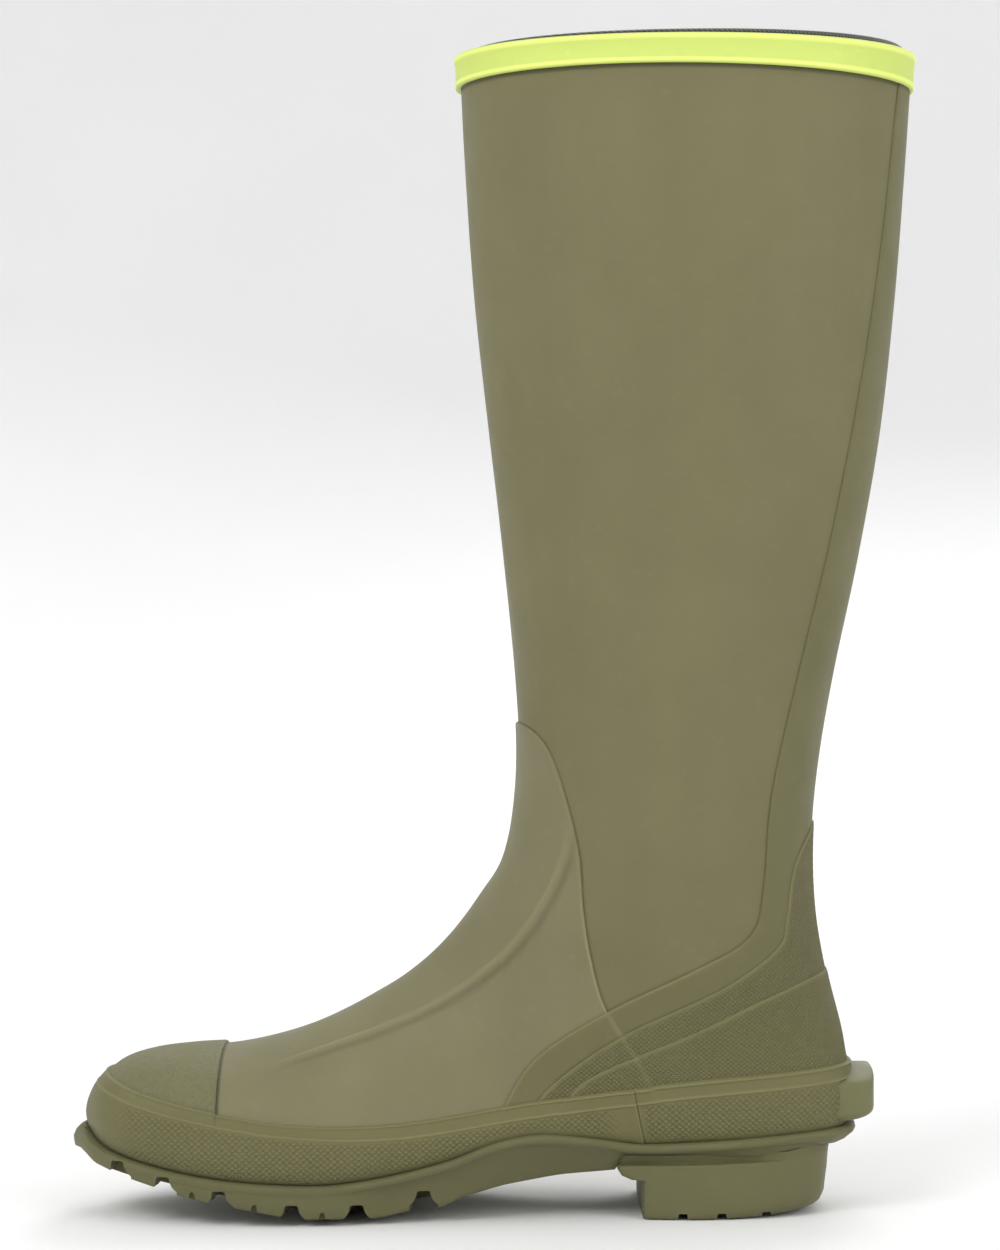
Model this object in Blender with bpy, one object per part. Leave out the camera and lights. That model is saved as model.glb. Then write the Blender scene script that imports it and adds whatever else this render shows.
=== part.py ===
"""Insulated rubber hunting boot, right foot, standing on its sole.

Frame: +Z up, origin on the ground under the middle of the bounding box.  The toe
points to -X, the heel to +X, and the arch side of the boot faces -Y.

The whole upper is one lofted surface.  STATIONS lists pairs of points, one on the
front profile and one on the back profile, from the top of the leg down to the toe;
the back profile runs down the calf, round the heel and forward under the foot.
Every sheet of the boot is a shell between two offsets of that surface, trimmed in
side view.  Sizes below are millimetres; they become metres when a mesh is made.
"""
import math

import bmesh
import bpy
import numpy as np
from mathutils import Vector

MM = 0.001

# ---------------------------------------------------------------- driving sizes
# front x, front z, back x, back z, half width, middle y, taper, front and back squareness
STATIONS = np.array((
    (-14.0, 457.2, 165.0, 455.4, 58.5, 0.0, 0.00, 2.1, 2.1),
    (-11.6, 412.0, 162.0, 410.0, 57.5, 0.0, 0.00, 2.1, 2.1),
    (-7.9, 361.0, 158.0, 359.0, 55.5, 0.0, 0.00, 2.1, 2.1),
    (-2.4, 310.0, 152.2, 307.0, 53.0, 0.0, 0.00, 2.1, 2.1),
    (3.0, 262.0, 143.6, 258.5, 50.0, 0.0, 0.00, 2.1, 2.1),
    (7.8, 216.0, 133.6, 212.0, 47.0, 0.0, 0.00, 2.1, 2.1),
    (9.8, 185.0, 127.6, 177.0, 45.0, 0.0, 0.00, 2.1, 2.1),
    (8.9, 162.0, 125.0, 147.0, 43.5, 0.0, 0.02, 2.1, 2.1),
    (5.0, 141.0, 125.8, 119.0, 42.0, 0.0, 0.05, 2.1, 2.2),
    (-4.2, 124.4, 130.2, 92.5, 40.5, 0.5, 0.08, 2.1, 2.3),
    (-14.6, 110.0, 136.6, 65.0, 38.5, 1.0, 0.07, 2.1, 2.6),
    (-24.6, 99.4, 137.6, 39.0, 38.0, 1.0, 0.02, 2.1, 3.0),
    (-35.5, 90.6, 115.0, 27.6, 37.5, 1.5, -0.02, 2.1, 3.4),
    (-46.5, 83.8, 74.5, 27.5, 37.5, 2.0, -0.06, 2.1, 3.6),
    (-58.0, 77.4, 35.5, 27.5, 39.5, 2.8, -0.12, 2.1, 3.8),
    (-71.0, 71.4, -2.0, 24.0, 43.0, 3.4, -0.18, 2.1, 4.0),
    (-86.0, 66.6, -38.0, 16.5, 45.5, 3.6, -0.22, 2.1, 4.0),
    (-103.0, 63.2, -70.0, 13.5, 46.5, 2.4, -0.22, 2.2, 4.0),
    (-119.0, 62.2, -101.0, 15.0, 45.0, 0.2, -0.20, 2.3, 3.8),
    (-134.0, 60.6, -126.0, 19.5, 39.5, -3.2, -0.15, 2.4, 3.2),
    (-146.0, 57.0, -142.5, 24.0, 30.5, -6.0, -0.08, 2.3, 2.6),
    (-153.2, 49.8, -151.5, 28.6, 17.8, -7.6, -0.03, 2.1, 2.2),
    (-157.2, 38.5, -157.2, 38.5, 0.0, -8.2, 0.00, 2.0, 2.0),
))
LAST = len(STATIONS) - 1
AROUND = 22                       # facets round the leg
DOWN = (0.0, 1.5, 3.0, 4.5, 6.0, 7.0, 8.0, 9.0, 10.0, 10.7, 11.3, 11.8, 12.4, 13.5, 15.0, 16.5,
        18.0, 19.0, 20.0, 20.7, 21.3, 21.7, LAST)   # rows of facets, as station numbers

# offsets of each sheet from the outside of the leg rubber, inner and outer
LINING = (-7.4, -6.6)
INSULATION = (-6.3, -3.0)
INTERLINING = (-2.7, -2.1)        # reinforcements laid under the rubber
LEG_RUBBER = (-1.8, 0.0)
OVERLAY = (0.3, 1.5)
LOWER_COUNTER = (0.3, 2.4)
TOE_CAP = (0.3, 2.4)
FOXING = (2.7, 4.1)
BAND = (0.3, 1.9)
SEAM_TAPE = (-8.1, -7.7)
GAP = 0.3
BUTT = 0.2                        # half the gap between two sheets of one layer

BAND_BOTTOM = 443.6
BAND_TOP = 456.1
FOXING_UNDERLAP = 9.0             # how far the overlays run down behind the foxing
BOARD_THICK = 2.2
FOAM_THICK = 4.2
COVER_THICK = 1.0
FOOTBED_SIDE = 9.9                # from the outside of the rubber in to the loose footbed
FOOTBED_UNDER = 8.5
HINGE = (-137.0, 33.0)            # toe end of the footbed, x and z

# side view lines, x and z
VAMP_EDGE = ((6.0, 193.5), (15.9, 188.2), (23.5, 175.7), (32.0, 145.0), (34.1, 121.1),
             (37.2, 101.9), (43.0, 82.4), (56.2, 60.9), (64.0, 46.0))
STRIP_EDGE = ((159.2, 450.0), (148.6, 357.5), (133.2, 273.9), (118.6, 212.1), (108.0, 165.2),
              (105.0, 130.0), (99.9, 110.5), (79.5, 98.2), (43.9, 81.4), (15.7, 62.9),
              (3.0, 43.6), (0.0, 36.0))
COUNTER_EDGE = ((134.0, 160.5), (126.4, 152.3), (117.6, 136.0), (114.2, 115.6), (110.4, 104.9),
                (87.4, 89.3), (48.5, 71.6), (19.5, 50.5), (13.0, 37.0))
LOWER_COUNTER_EDGE = ((150.0, 96.5), (131.1, 95.0), (103.3, 84.9), (79.6, 74.0), (40.8, 58.0),
                      (28.0, 48.0), (22.0, 38.0))
RIDGE = ((31.0, 158.0), (25.3, 132.5), (4.5, 101.3), (-32.3, 77.1), (-94.6, 55.3), (-97.0, 50.0))
FOXING_TOP = ((-175.0, 61.5), (-152.6, 56.4), (-133.9, 50.3), (-105.2, 43.7), (-74.5, 39.4),
              (-36.2, 39.5), (17.6, 47.2), (79.5, 54.5), (137.7, 59.0), (160.0, 60.5))
RIM_LINE = ((-170.0, 40.0), (-162.6, 35.0), (-149.5, 26.9), (-113.0, 19.0), (-74.2, 15.8),
            (-50.0, 17.4), (-20.0, 24.0), (0.0, 31.5), (17.7, 34.5), (40.0, 32.4),
            (56.2, 30.0), (79.3, 30.6), (118.3, 33.3), (140.9, 35.0), (160.0, 36.5))
TOE_CAP_X = -107.0
FOXING_SEAM = ((53.0, 75.0), (57.0, 20.0))

# kick-off lug
LUG_FRONT = 120.0                 # hidden inside the heel
LUG_REAR = 149.6
LUG_MIDDLE = 1.0
LUG_HALF = 23.0
LUG_ROUNDING = 17.0               # how far its sides run forward of its rear face
LUG_Z = (37.2, 57.0)
LUG_CHAMFER_LOW = (143.5, 42.0)   # where the sloping faces start and end, x and z
LUG_CHAMFER_HIGH = (146.0, 52.4)

# sole
RIM_PROUD = 2.9
TOE_LIP = 3.8                     # how much more the rim stands out at the toe
RIM_HIGH = 4.0
RIM_TO_SIDE = 0.8                 # height over which the rim steps back to the sole's side
SIDE_DRAFT = -5.0                 # offset the side has slanted in to, SIDE_FOOT below the ground
SIDE_FOOT = 8.0
WAIST_X = 22.0                    # narrowest place of the sole under the arch
WAIST_LONG = 34.0
WAIST_DEEP = 9.0
SOLE_BOTTOM = ((-172.0, 29.0), (-164.0, 24.6), (-156.0, 19.0), (-144.4, 15.2), (-132.0, 12.0),
               (-120.6, 8.6), (-94.0, 3.6), (-76.0, 0.0), (-44.0, 0.0), (-34.0, 3.6), (-20.0, 6.0),
               (-13.0, 9.6), (2.2, 13.4), (25.6, 17.0), (47.4, 18.8))
HEEL_SEAT = 24.4                  # underside of the outsole over the heel block
HEEL_SIDE = ((47.9, 24.1), (47.9, 19.4), (49.6, 16.9), (52.8, 15.5), (57.6, 15.1), (57.9, 0.0))
HEEL_SETBACK = 7.0                # back of the heel block forward of the rim
HEEL_DRAFT = 1.4
HEEL_NARROWED = 3.0
HEEL_GROOVES = (73.2, 88.3, 104.0)
HEEL_GROOVE_SIZE = (3.8, 2.3)
HEEL_CORE_LOW = (74.0, -20.0, 7.0)
HEEL_CORE_HIGH = (112.0, 22.0, HEEL_SEAT - GAP)
LUG_GROOVES = (-148.7, -129.7, -107.8, -79.3, -54.7, -29.3)
LUG_GROOVE_SIZE = (5.0, 5.5)
LUG_GROOVE_INNER = (-16.0, 14.0)  # y where the grooves of the two sides end
SHANK = (-28.0, 92.0, 8.0)        # toe end, heel end and half width
FILLER = (-118.0, -44.0, 26.0)
INSERT_THICK = 1.8
INSERT_MIDDLE = 1.0
RING_HALF = 30                    # facets along one side of the sole


# ---------------------------------------------------------------- curves
def spline(values, t):
    """Catmull-Rom through the rows of values at parameter t, straight past the first row."""
    values = np.asarray(values, float)
    t = np.asarray(t, float)
    i = np.clip(np.floor(t).astype(int), 0, len(values) - 2)
    f = (t - i)[..., None]
    before = np.where((i == 0)[..., None], 2 * values[0] - values[1], values[np.maximum(i - 1, 0)])
    after = values[np.minimum(i + 2, len(values) - 1)]
    a, b = values[i], values[i + 1]
    return 0.5 * (2 * a + (b - before) * f + (2 * before - 5 * a + 4 * b - after) * f ** 2
                  + (3 * a - before - 3 * b + after) * f ** 3)


def smooth_line(points, steps=3):
    """Polyline through points with rounded runs between them."""
    ends = np.vstack([points, 2 * np.array(points[-1]) - np.array(points[-2])])
    return spline(ends, np.linspace(0, len(points) - 1, (len(points) - 1) * steps + 1))


def height_on(points, x):
    """Height of a side view line at x."""
    line = smooth_line(points, 6)
    return np.interp(x, line[:, 0], line[:, 1])


def shifted(line, distance):
    """The polyline moved sideways, to the left of its direction of travel."""
    line = np.asarray(line, float)
    along = np.gradient(line, axis=0)
    along /= np.linalg.norm(along, axis=1)[:, None]
    return line + distance * np.stack([-along[:, 1], along[:, 0]], 1)


# ---------------------------------------------------------------- the boot surface
# one more station past the toe, with front and back exchanged, rounds the toe over
PAST_TOE = STATIONS[-2][[2, 3, 0, 1, 4, 5, 6, 8, 7]] * (1, 1, 1, 1, -1, 1, -1, 1, 1)
TABLE = np.vstack([STATIONS, PAST_TOE])


def section(u, theta):
    """Station row and the two unit coordinates of the rounded section at angle theta."""
    row = spline(TABLE, u)
    c, s = np.cos(theta), np.sin(theta)
    front = (1 + c) / 2
    power = row[..., 7] * front + row[..., 8] * (1 - front)
    reach = (np.abs(c) ** power + np.abs(s) ** power) ** (-1 / power)
    return row, reach * c, reach * s


def base_point(u, theta):
    """Point on the outside of the leg rubber; theta 0 is the front, pi/2 the arch side."""
    row, a, b = section(u, theta)
    x = (row[..., 0] + row[..., 2]) / 2 + (row[..., 0] - row[..., 2]) / 2 * a
    z = (row[..., 1] + row[..., 3]) / 2 + (row[..., 1] - row[..., 3]) / 2 * a
    y = row[..., 5] - row[..., 4] * (1 + row[..., 6] * a) * b
    return np.stack([x, y, z], -1)


def outward(u, theta):
    """Unit normal of the surface by finite differences."""
    du = base_point(u + 0.04, theta) - base_point(u - 0.04, theta)
    dt = base_point(u, theta + 0.02) - base_point(u, theta - 0.02)
    n = np.cross(du, dt)
    return n / np.linalg.norm(n, axis=-1)[..., None]


def surface(u, theta, offset):
    """Point on the surface moved out by offset, by blending the section's four main normals."""
    u, theta = np.broadcast_arrays(np.asarray(u, float), np.asarray(theta, float))
    _, a, b = section(u, theta)
    a, b = a[..., None], b[..., None]
    inside = np.minimum(u, LAST - 0.05)
    front, back = outward(inside, 0 * u), outward(inside, 0 * u + math.pi)
    arch, far = outward(inside, 0 * u + math.pi / 2), outward(inside, 0 * u - math.pi / 2)
    way = ((front + back) / 2 + (front - back) / 2 * a + (arch - far) / 2 * b
           + ((arch + far) / 2 - (front + back) / 2) * b ** 2)
    return base_point(u, theta) + offset * way


def grid(offset, top=0.0):
    """Rows of points from the top of the leg to the toe; the last row is one point."""
    us = np.array((top,) + DOWN[1:])[:, None]
    thetas = np.linspace(0, 2 * math.pi, AROUND, endpoint=False)[None, :]
    rows = surface(us, thetas, offset)
    rows[-1] = rows[-1].mean(axis=0)
    return rows


# ---------------------------------------------------------------- meshes
def clear_scene():
    for obj in list(bpy.data.objects):
        bpy.data.objects.remove(obj)


def make_object(name, points, faces):
    """Object from points in millimetres, with the faces turned outward."""
    mesh = bpy.data.meshes.new(name)
    mesh.from_pydata([tuple(float(c) * MM for c in p) for p in points], [], faces)
    bm = bmesh.new()
    bm.from_mesh(mesh)
    bmesh.ops.recalc_face_normals(bm, faces=bm.faces)
    bm.to_mesh(mesh)
    bm.free()
    obj = bpy.data.objects.new(name, mesh)
    bpy.context.scene.collection.objects.link(obj)
    return obj


def skin_faces(first, flip):
    """Triangles of one grid whose points start at index first."""
    faces = []
    rows = len(DOWN) - 1
    for i in range(rows):
        for j in range(AROUND):
            a = first + i * AROUND + j
            b = first + i * AROUND + (j + 1) % AROUND
            if i == rows - 1:
                tip = first + rows * AROUND
                faces.append((a, b, tip))
                continue
            faces.append((a, b, b + AROUND))
            faces.append((a, b + AROUND, a + AROUND))
    return [f[::-1] for f in faces] if flip else faces


def grid_points(offset, top=0.0):
    """The grid as a flat list, with a single point for the toe."""
    rows = grid(offset, top)
    return list(rows[:-1].reshape(-1, 3)) + [rows[-1, 0]]


def shell(name, layer, top=0.0):
    """Sock shaped sheet, open at the top of the leg."""
    inner, outer = layer
    points = grid_points(outer, top) + grid_points(inner, top)
    half = len(points) // 2
    faces = skin_faces(0, False) + skin_faces(half, True)
    for j in range(AROUND):
        k = (j + 1) % AROUND
        faces.append((j, half + j, half + k))
        faces.append((j, half + k, k))
    return make_object(name, points, faces)


def filled(name, offset):
    """The volume inside an offset of the surface, closed at the top."""
    points = grid_points(offset)
    middle = np.mean(points[:AROUND], axis=0)
    faces = skin_faces(0, False)
    faces += [(j, len(points), (j + 1) % AROUND) for j in range(AROUND)]
    return make_object(name, points + [middle], faces)


def prism(outline, low=-90.0, high=90.0):
    """A side view outline drawn out across the boot, in y."""
    count = len(outline)
    points = [(x, low, z) for x, z in outline] + [(x, high, z) for x, z in outline]
    faces = [tuple(range(count)), tuple(range(2 * count - 1, count - 1, -1))]
    faces += [(i, (i + 1) % count, count + (i + 1) % count, count + i) for i in range(count)]
    return make_object("cutter", points, faces)


def box(low, high):
    corners = [(x, y, z) for x in (low[0], high[0]) for y in (low[1], high[1])
               for z in (low[2], high[2])]
    faces = [(0, 1, 3, 2), (4, 6, 7, 5), (0, 4, 5, 1), (2, 3, 7, 6), (0, 2, 6, 4), (1, 5, 7, 3)]
    return make_object("cutter", corners, faces)


def combine(obj, tool, operation):
    """Apply an exact Boolean with tool, then drop the tool."""
    modifier = obj.modifiers.new("cut", "BOOLEAN")
    modifier.operation = operation
    modifier.solver = "EXACT"
    modifier.object = tool
    graph = bpy.context.evaluated_depsgraph_get()
    result = bpy.data.meshes.new_from_object(obj.evaluated_get(graph))
    obj.modifiers.clear()
    obj.data = result
    bpy.data.objects.remove(tool)
    return obj


def keep(obj, tool):
    return combine(obj, tool, "INTERSECT")


def cut(obj, tool):
    return combine(obj, tool, "DIFFERENCE")


# ---------------------------------------------------------------- the upper
def foxing_lap(x):
    """Lower edge of the overlays, hidden behind the foxing."""
    return height_on(FOXING_TOP, x) - FOXING_UNDERLAP


def lap_line(x_from, x_to):
    xs = np.linspace(x_from, x_to, 9)
    return [(x, z) for x, z in zip(xs, foxing_lap(xs))]


def vamp():
    edge = shifted(smooth_line(VAMP_EDGE), -BUTT)
    strip = shifted(smooth_line(STRIP_EDGE), -BUTT)
    front = [(TOE_CAP_X + BUTT, 90.0), (-60.0, 150.0), (-20.0, 193.5)]
    piece = keep(shell("vamp", OVERLAY), prism(list(edge) + lap_line(62.0, TOE_CAP_X + BUTT) + front))
    behind = [(strip[-1][0], 20.0), (200.0, 20.0), (200.0, 470.0)]
    return cut(piece, prism(list(strip) + behind))


def toe_cap():
    outline = lap_line(TOE_CAP_X - BUTT, -175.0) + [(-175.0, 90.0), (TOE_CAP_X - BUTT, 90.0)]
    return keep(shell("toe_cap", TOE_CAP), prism(outline))


def back_strip():
    top = BAND_BOTTOM - 2 * BUTT
    edge = [p for p in shifted(smooth_line(STRIP_EDGE), BUTT) if p[1] < top]
    counter = shifted(smooth_line(COUNTER_EDGE), -BUTT)
    outline = [(180.0, top), (edge[0][0] + 0.1, top)] + edge + list(counter)[::-1] + [(180.0, 165.0)]
    return keep(shell("back_strip", OVERLAY), prism(outline))


def heel_counter_upper():
    upper = shifted(smooth_line(COUNTER_EDGE), BUTT)
    lower = shifted(smooth_line(LOWER_COUNTER_EDGE), -BUTT)
    outline = list(upper) + lap_line(15.0, 21.0) + list(lower)[::-1] + [(160.0, 120.0)]
    return keep(shell("heel_counter_upper", OVERLAY), prism(outline))


def heel_counter_lower():
    upper = shifted(smooth_line(LOWER_COUNTER_EDGE), BUTT)
    outline = list(upper) + lap_line(24.0, 160.0)
    return keep(shell("heel_counter_lower", LOWER_COUNTER), prism(outline))


def foxing_band(name):
    """The band above the rim, all the way round the foot."""
    xs = np.linspace(-175.0, 160.0, 34)
    low = [(x, z + 2 * GAP) for x, z in zip(xs, height_on(RIM_LINE, xs))]
    high = [(x, z) for x, z in zip(xs, height_on(FOXING_TOP, xs))]
    return keep(shell(name, FOXING), prism(low + high[::-1]))


def toe_foxing():
    (x_top, z_top), (x_low, z_low) = FOXING_SEAM
    outline = [(-180.0, z_low), (x_low - BUTT, z_low), (x_top - BUTT, z_top), (-180.0, z_top)]
    return keep(foxing_band("toe_foxing"), prism(outline))


def heel_foxing():
    (x_top, z_top), (x_low, z_low) = FOXING_SEAM
    outline = [(x_low + BUTT, z_low), (170.0, z_low), (170.0, z_top), (x_top + BUTT, z_top)]
    return keep(foxing_band("heel_foxing"), prism(outline))


def top_band():
    outline = [(-40.0, BAND_BOTTOM), (190.0, BAND_BOTTOM), (190.0, BAND_TOP), (-40.0, BAND_TOP)]
    return keep(shell("top_band", BAND), prism(outline))


def kick_lug():
    """Ledge behind the heel, for pushing the boot off with the other foot."""
    turns = np.linspace(-math.pi / 2, math.pi / 2, 13)
    plan = [(LUG_REAR - LUG_ROUNDING * (1 - math.cos(a)), LUG_MIDDLE + LUG_HALF * math.sin(a))
            for a in turns]
    plan = [(LUG_FRONT, plan[0][1])] + plan + [(LUG_FRONT, plan[-1][1])]
    count = len(plan)
    points = [(x, y, z) for z in LUG_Z for x, y in plan]
    faces = [tuple(range(count)), tuple(range(2 * count - 1, count - 1, -1))]
    faces += [(i, (i + 1) % count, count + (i + 1) % count, count + i) for i in range(count)]
    block = make_object("kick_lug", points, faces)
    (x_low, z_low), (x_high, z_high) = LUG_CHAMFER_LOW, LUG_CHAMFER_HIGH
    front, rear = LUG_FRONT - 20.0, LUG_REAR + BUTT
    under, over = LUG_Z[0], LUG_Z[1] + BUTT
    side = [(front, under - 5.0), (x_low, under - 5.0), (x_low, under), (rear, z_low),
            (rear, z_high), (x_high, over), (x_high, over + 5.0), (front, over + 5.0)]
    return cut(keep(block, prism(side)), filled("cutter", FOXING[1] + GAP))


# ---------------------------------------------------------------- under the rubber
def floor_height(x, above):
    """Height above the underside of the leg rubber, level behind the heel seat."""
    under = spline(TABLE, np.linspace(12.0, LAST, 60))[:, 2:4]
    return np.interp(x, under[::-1, 0], under[::-1, 1]) + above


def floor_region(above, x_toe, x_heel, depth=60.0):
    """Side view region from a line above the floor down."""
    xs = np.linspace(x_toe, x_heel, 25)
    top = [(x, z) for x, z in zip(xs, floor_height(xs, above))]
    return top + [(x_heel, top[-1][1] - depth), (x_toe, top[-1][1] - depth)]


def lasting_board():
    outline = floor_region(-INTERLINING[1] + BOARD_THICK, -148.0, 160.0)
    board = filled("lasting_board", INTERLINING[1])
    return keep(board, prism(outline))


def insulation():
    outline = floor_region(-INTERLINING[1] + BOARD_THICK + GAP, -148.4, 160.0)
    return cut(shell("insulation", INSULATION), prism(outline))


def lining():
    return shell("lining", LINING, top=-0.035)


def ankle_reinforcement():
    ahead_of_stiffener = [(60.0, 100.0), (170.0, 100.0), (170.0, 165.0)]
    outline = list(smooth_line(RIDGE)) + lap_line(RIDGE[-1][0], 56.0) + ahead_of_stiffener
    return keep(shell("ankle_reinforcement", INTERLINING), prism(outline))


def heel_stiffener():
    outline = [(61.0, 38.0), (170.0, 38.0), (170.0, 99.0), (61.0, 99.0)]
    return keep(shell("heel_stiffener", INTERLINING), prism(outline))


def toe_puff():
    outline = [(-175.0, 38.5), (-101.0, 38.5), (-101.0, 80.0), (-175.0, 80.0)]
    return keep(shell("toe_puff", INTERLINING), prism(outline))


def lining_seam_tape():
    tape = shell("lining_seam_tape", SEAM_TAPE)
    return keep(tape, box((110.0, -9.0, 130.0), (180.0, 9.0, 446.0)))


# ---------------------------------------------------------------- footbed
def footbed_layer(name, low, high):
    """One layer of the loose footbed, between two heights over its own underside."""
    base = filled(name, -FOOTBED_SIDE)
    for vertex in base.data.vertices:
        vertex.co.z -= (FOOTBED_SIDE - FOOTBED_UNDER) * MM
    piece = keep(base, prism(floor_region(FOOTBED_UNDER + high, -175.0, 160.0)))
    if low > 0:
        piece = cut(piece, prism(floor_region(FOOTBED_UNDER + low, -175.0, 160.0)))
    return piece


def footbed_foam():
    return footbed_layer("footbed_foam", 0.0, FOAM_THICK)


def footbed_cover():
    return footbed_layer("footbed_cover", FOAM_THICK + GAP, FOAM_THICK + GAP + COVER_THICK)


# ---------------------------------------------------------------- sole
def feather_line():
    """Plan line where the foxing meets the rim: the arch side going to the toe, then back."""
    sides = []
    for sign in (1, -1):
        us = np.linspace(10.2, LAST, 260)
        thetas = np.linspace(math.pi, 0.25, 70)
        points = surface(us[:, None], sign * thetas[None, :], FOXING[1])
        over = points[..., 2] - height_on(RIM_LINE, points[..., 0])
        line = []
        for i in range(len(us)):
            rising = np.nonzero((over[i, :-1] < 0) & (over[i, 1:] >= 0))[0]
            if len(rising):
                j = rising[0]
                f = over[i, j] / (over[i, j] - over[i, j + 1])
                line.append(points[i, j] * (1 - f) + points[i, j + 1] * f)
        sides.append(np.array(line)[:, :2])
    return sides


FEATHER = feather_line()


def ring(offset, waist=0.0):
    """Closed plan ring moved out from the feather line, and in at the waist of the sole."""
    arch, far = FEATHER
    loop = np.vstack([arch, far[::-1]])
    along = np.roll(loop, -3, axis=0) - np.roll(loop, 3, axis=0)
    normal = np.stack([-along[:, 1], along[:, 0]], 1)
    normal /= np.maximum(np.linalg.norm(normal, axis=1), 1e-9)[:, None]
    middle = loop.mean(axis=0)
    if np.sum(normal * (loop - middle)) < 0:
        normal = -normal
    narrow = waist * np.exp(-((loop[:, 0] - WAIST_X) / WAIST_LONG) ** 2)
    lip = TOE_LIP * np.maximum(-normal[:, 0], 0.0) ** 3
    moved = loop + normal * (offset - narrow + lip)[:, None]
    low, high = moved[:, 0].min(), moved[:, 0].max()
    xs = (low + high) / 2 - (high - low) / 2 * np.cos(np.pi * np.arange(RING_HALF + 1) / RING_HALF)
    sides = []
    for part in (moved[:len(arch)], moved[len(arch):]):
        order = np.argsort(part[:, 0])
        sides.append(np.interp(xs, part[order, 0], part[order, 1]))
    ends = [(sides[0][k] + sides[1][k]) / 2 for k in (0, -1)]
    near = [(xs[0], ends[0])] + list(zip(xs[1:-1], sides[0][1:-1])) + [(xs[-1], ends[1])]
    back = list(zip(xs[1:-1], sides[1][1:-1]))[::-1]
    return near + back


def ring_stack(name, levels):
    """Solid through rings; each level is a ring and the heights of its points."""
    count = 2 * RING_HALF
    points = []
    for plan, height in levels:
        points += [(x, y, height(x)) for x, y in plan]
    faces = []
    for level in range(len(levels) - 1):
        for k in range(count):
            a, b = level * count + k, level * count + (k + 1) % count
            faces += [(a, b, b + count), (a, b + count, a + count)]
    for start in (0, (len(levels) - 1) * count):
        for k in range(RING_HALF):
            a, b = start + k, start + k + 1
            c, d = start + (count - k - 1) % count, start + (count - k) % count
            if k == 0:
                faces.append((a, b, c))
            elif k == RING_HALF - 1:
                faces.append((a, b, d))
            else:
                faces += [(a, b, c), (a, c, d)]
    return make_object(name, points, faces)


def rim_height(drop):
    return lambda x: float(height_on(RIM_LINE, x)) - drop


def lug_cutters():
    """Boxes for the big grooves between the forefoot lugs, on both sides."""
    wide, high = LUG_GROOVE_SIZE
    boxes = []
    side = 80.0
    for x in LUG_GROOVES:
        bottom = float(np.interp(x, *np.array(SOLE_BOTTOM).T))
        for low, top in ((-side, LUG_GROOVE_INNER[0]), (LUG_GROOVE_INNER[1], side)):
            boxes.append(box((x - wide / 2, low, bottom - 12.0), (x + wide / 2, top, bottom + high)))
    return boxes


def outsole():
    levels = [
        (ring(RIM_PROUD - 0.6), rim_height(0.0)),
        (ring(RIM_PROUD), rim_height(1.0)),
        (ring(RIM_PROUD - 0.2), rim_height(RIM_HIGH)),
        (ring(0.6, 1.0), rim_height(RIM_HIGH + RIM_TO_SIDE)),
        (ring(SIDE_DRAFT, WAIST_DEEP), lambda x: -SIDE_FOOT),
    ]
    sole = ring_stack("outsole", levels)
    under = list(SOLE_BOTTOM) + [(SOLE_BOTTOM[-1][0], HEEL_SEAT), (160.0, HEEL_SEAT)]
    sole = cut(sole, prism([(-190.0, -40.0), (-190.0, 34.0)] + under + [(160.0, -40.0)]))
    sole = cut(sole, filled("cutter", GAP))
    for cutter in lug_cutters():
        sole = cut(sole, cutter)
    for pocket in (shank_blank(GAP), filler_blank(GAP)):
        sole = cut(sole, pocket)
    return sole


def under_foot(strip, margin):
    """Strip under the leg rubber; with a margin, its pocket, open through the top."""
    x_toe, x_heel, half_width = strip
    xs = np.linspace(x_toe - margin, x_heel + margin, 9)
    open_top = 8 * margin
    top = [(x, z) for x, z in zip(xs, floor_height(xs, -GAP + open_top))]
    low = [(x, z) for x, z in zip(xs, floor_height(xs, -GAP - INSERT_THICK - margin))]
    half = half_width + margin
    return prism(top + low[::-1], INSERT_MIDDLE - half, INSERT_MIDDLE + half)


def shank_blank(margin):
    return under_foot(SHANK, margin)


def filler_blank(margin):
    return under_foot(FILLER, margin)


def renamed(obj, name):
    obj.name = name
    obj.data.name = name
    return obj


def steel_shank():
    return cut(renamed(shank_blank(0.0), "steel_shank"), filled("cutter", GAP))


def forefoot_filler():
    return cut(renamed(filler_blank(0.0), "forefoot_filler"), filled("cutter", GAP))


def heel_core_box(margin):
    """The core; with a margin, its pocket, open through the top of the heel block."""
    open_top = 6 * margin
    low = [c - margin for c in HEEL_CORE_LOW]
    high = [c + grow for c, grow in zip(HEEL_CORE_HIGH, (margin, margin, open_top))]
    return box(low, high)


def heel_ring(offset, forward):
    """Sole ring moved in, and forward so that the heel's back is set under the rim."""
    return [(x + forward, y) for x, y in ring(offset, HEEL_NARROWED)]


def heel_block():
    drafted = -HEEL_SETBACK - HEEL_DRAFT
    levels = [(heel_ring(0.5, -HEEL_SETBACK), lambda x: HEEL_SEAT - GAP),
              (heel_ring(-0.6, drafted), lambda x: 1.0), (heel_ring(-1.4, drafted), lambda x: 0.0)]
    block = ring_stack("heel_block", levels)
    breast = [(-190.0, 40.0), (HEEL_SIDE[0][0], 40.0)] + list(HEEL_SIDE)
    block = cut(block, prism(breast + [(HEEL_SIDE[-1][0], -20.0), (-190.0, -20.0)]))
    wide, high = HEEL_GROOVE_SIZE
    for x in HEEL_GROOVES:
        block = cut(block, box((x - wide / 2, -80.0, -5.0), (x + wide / 2, 80.0, high)))
    return cut(block, heel_core_box(GAP))


def heel_core():
    return renamed(heel_core_box(0.0), "heel_core")


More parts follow.
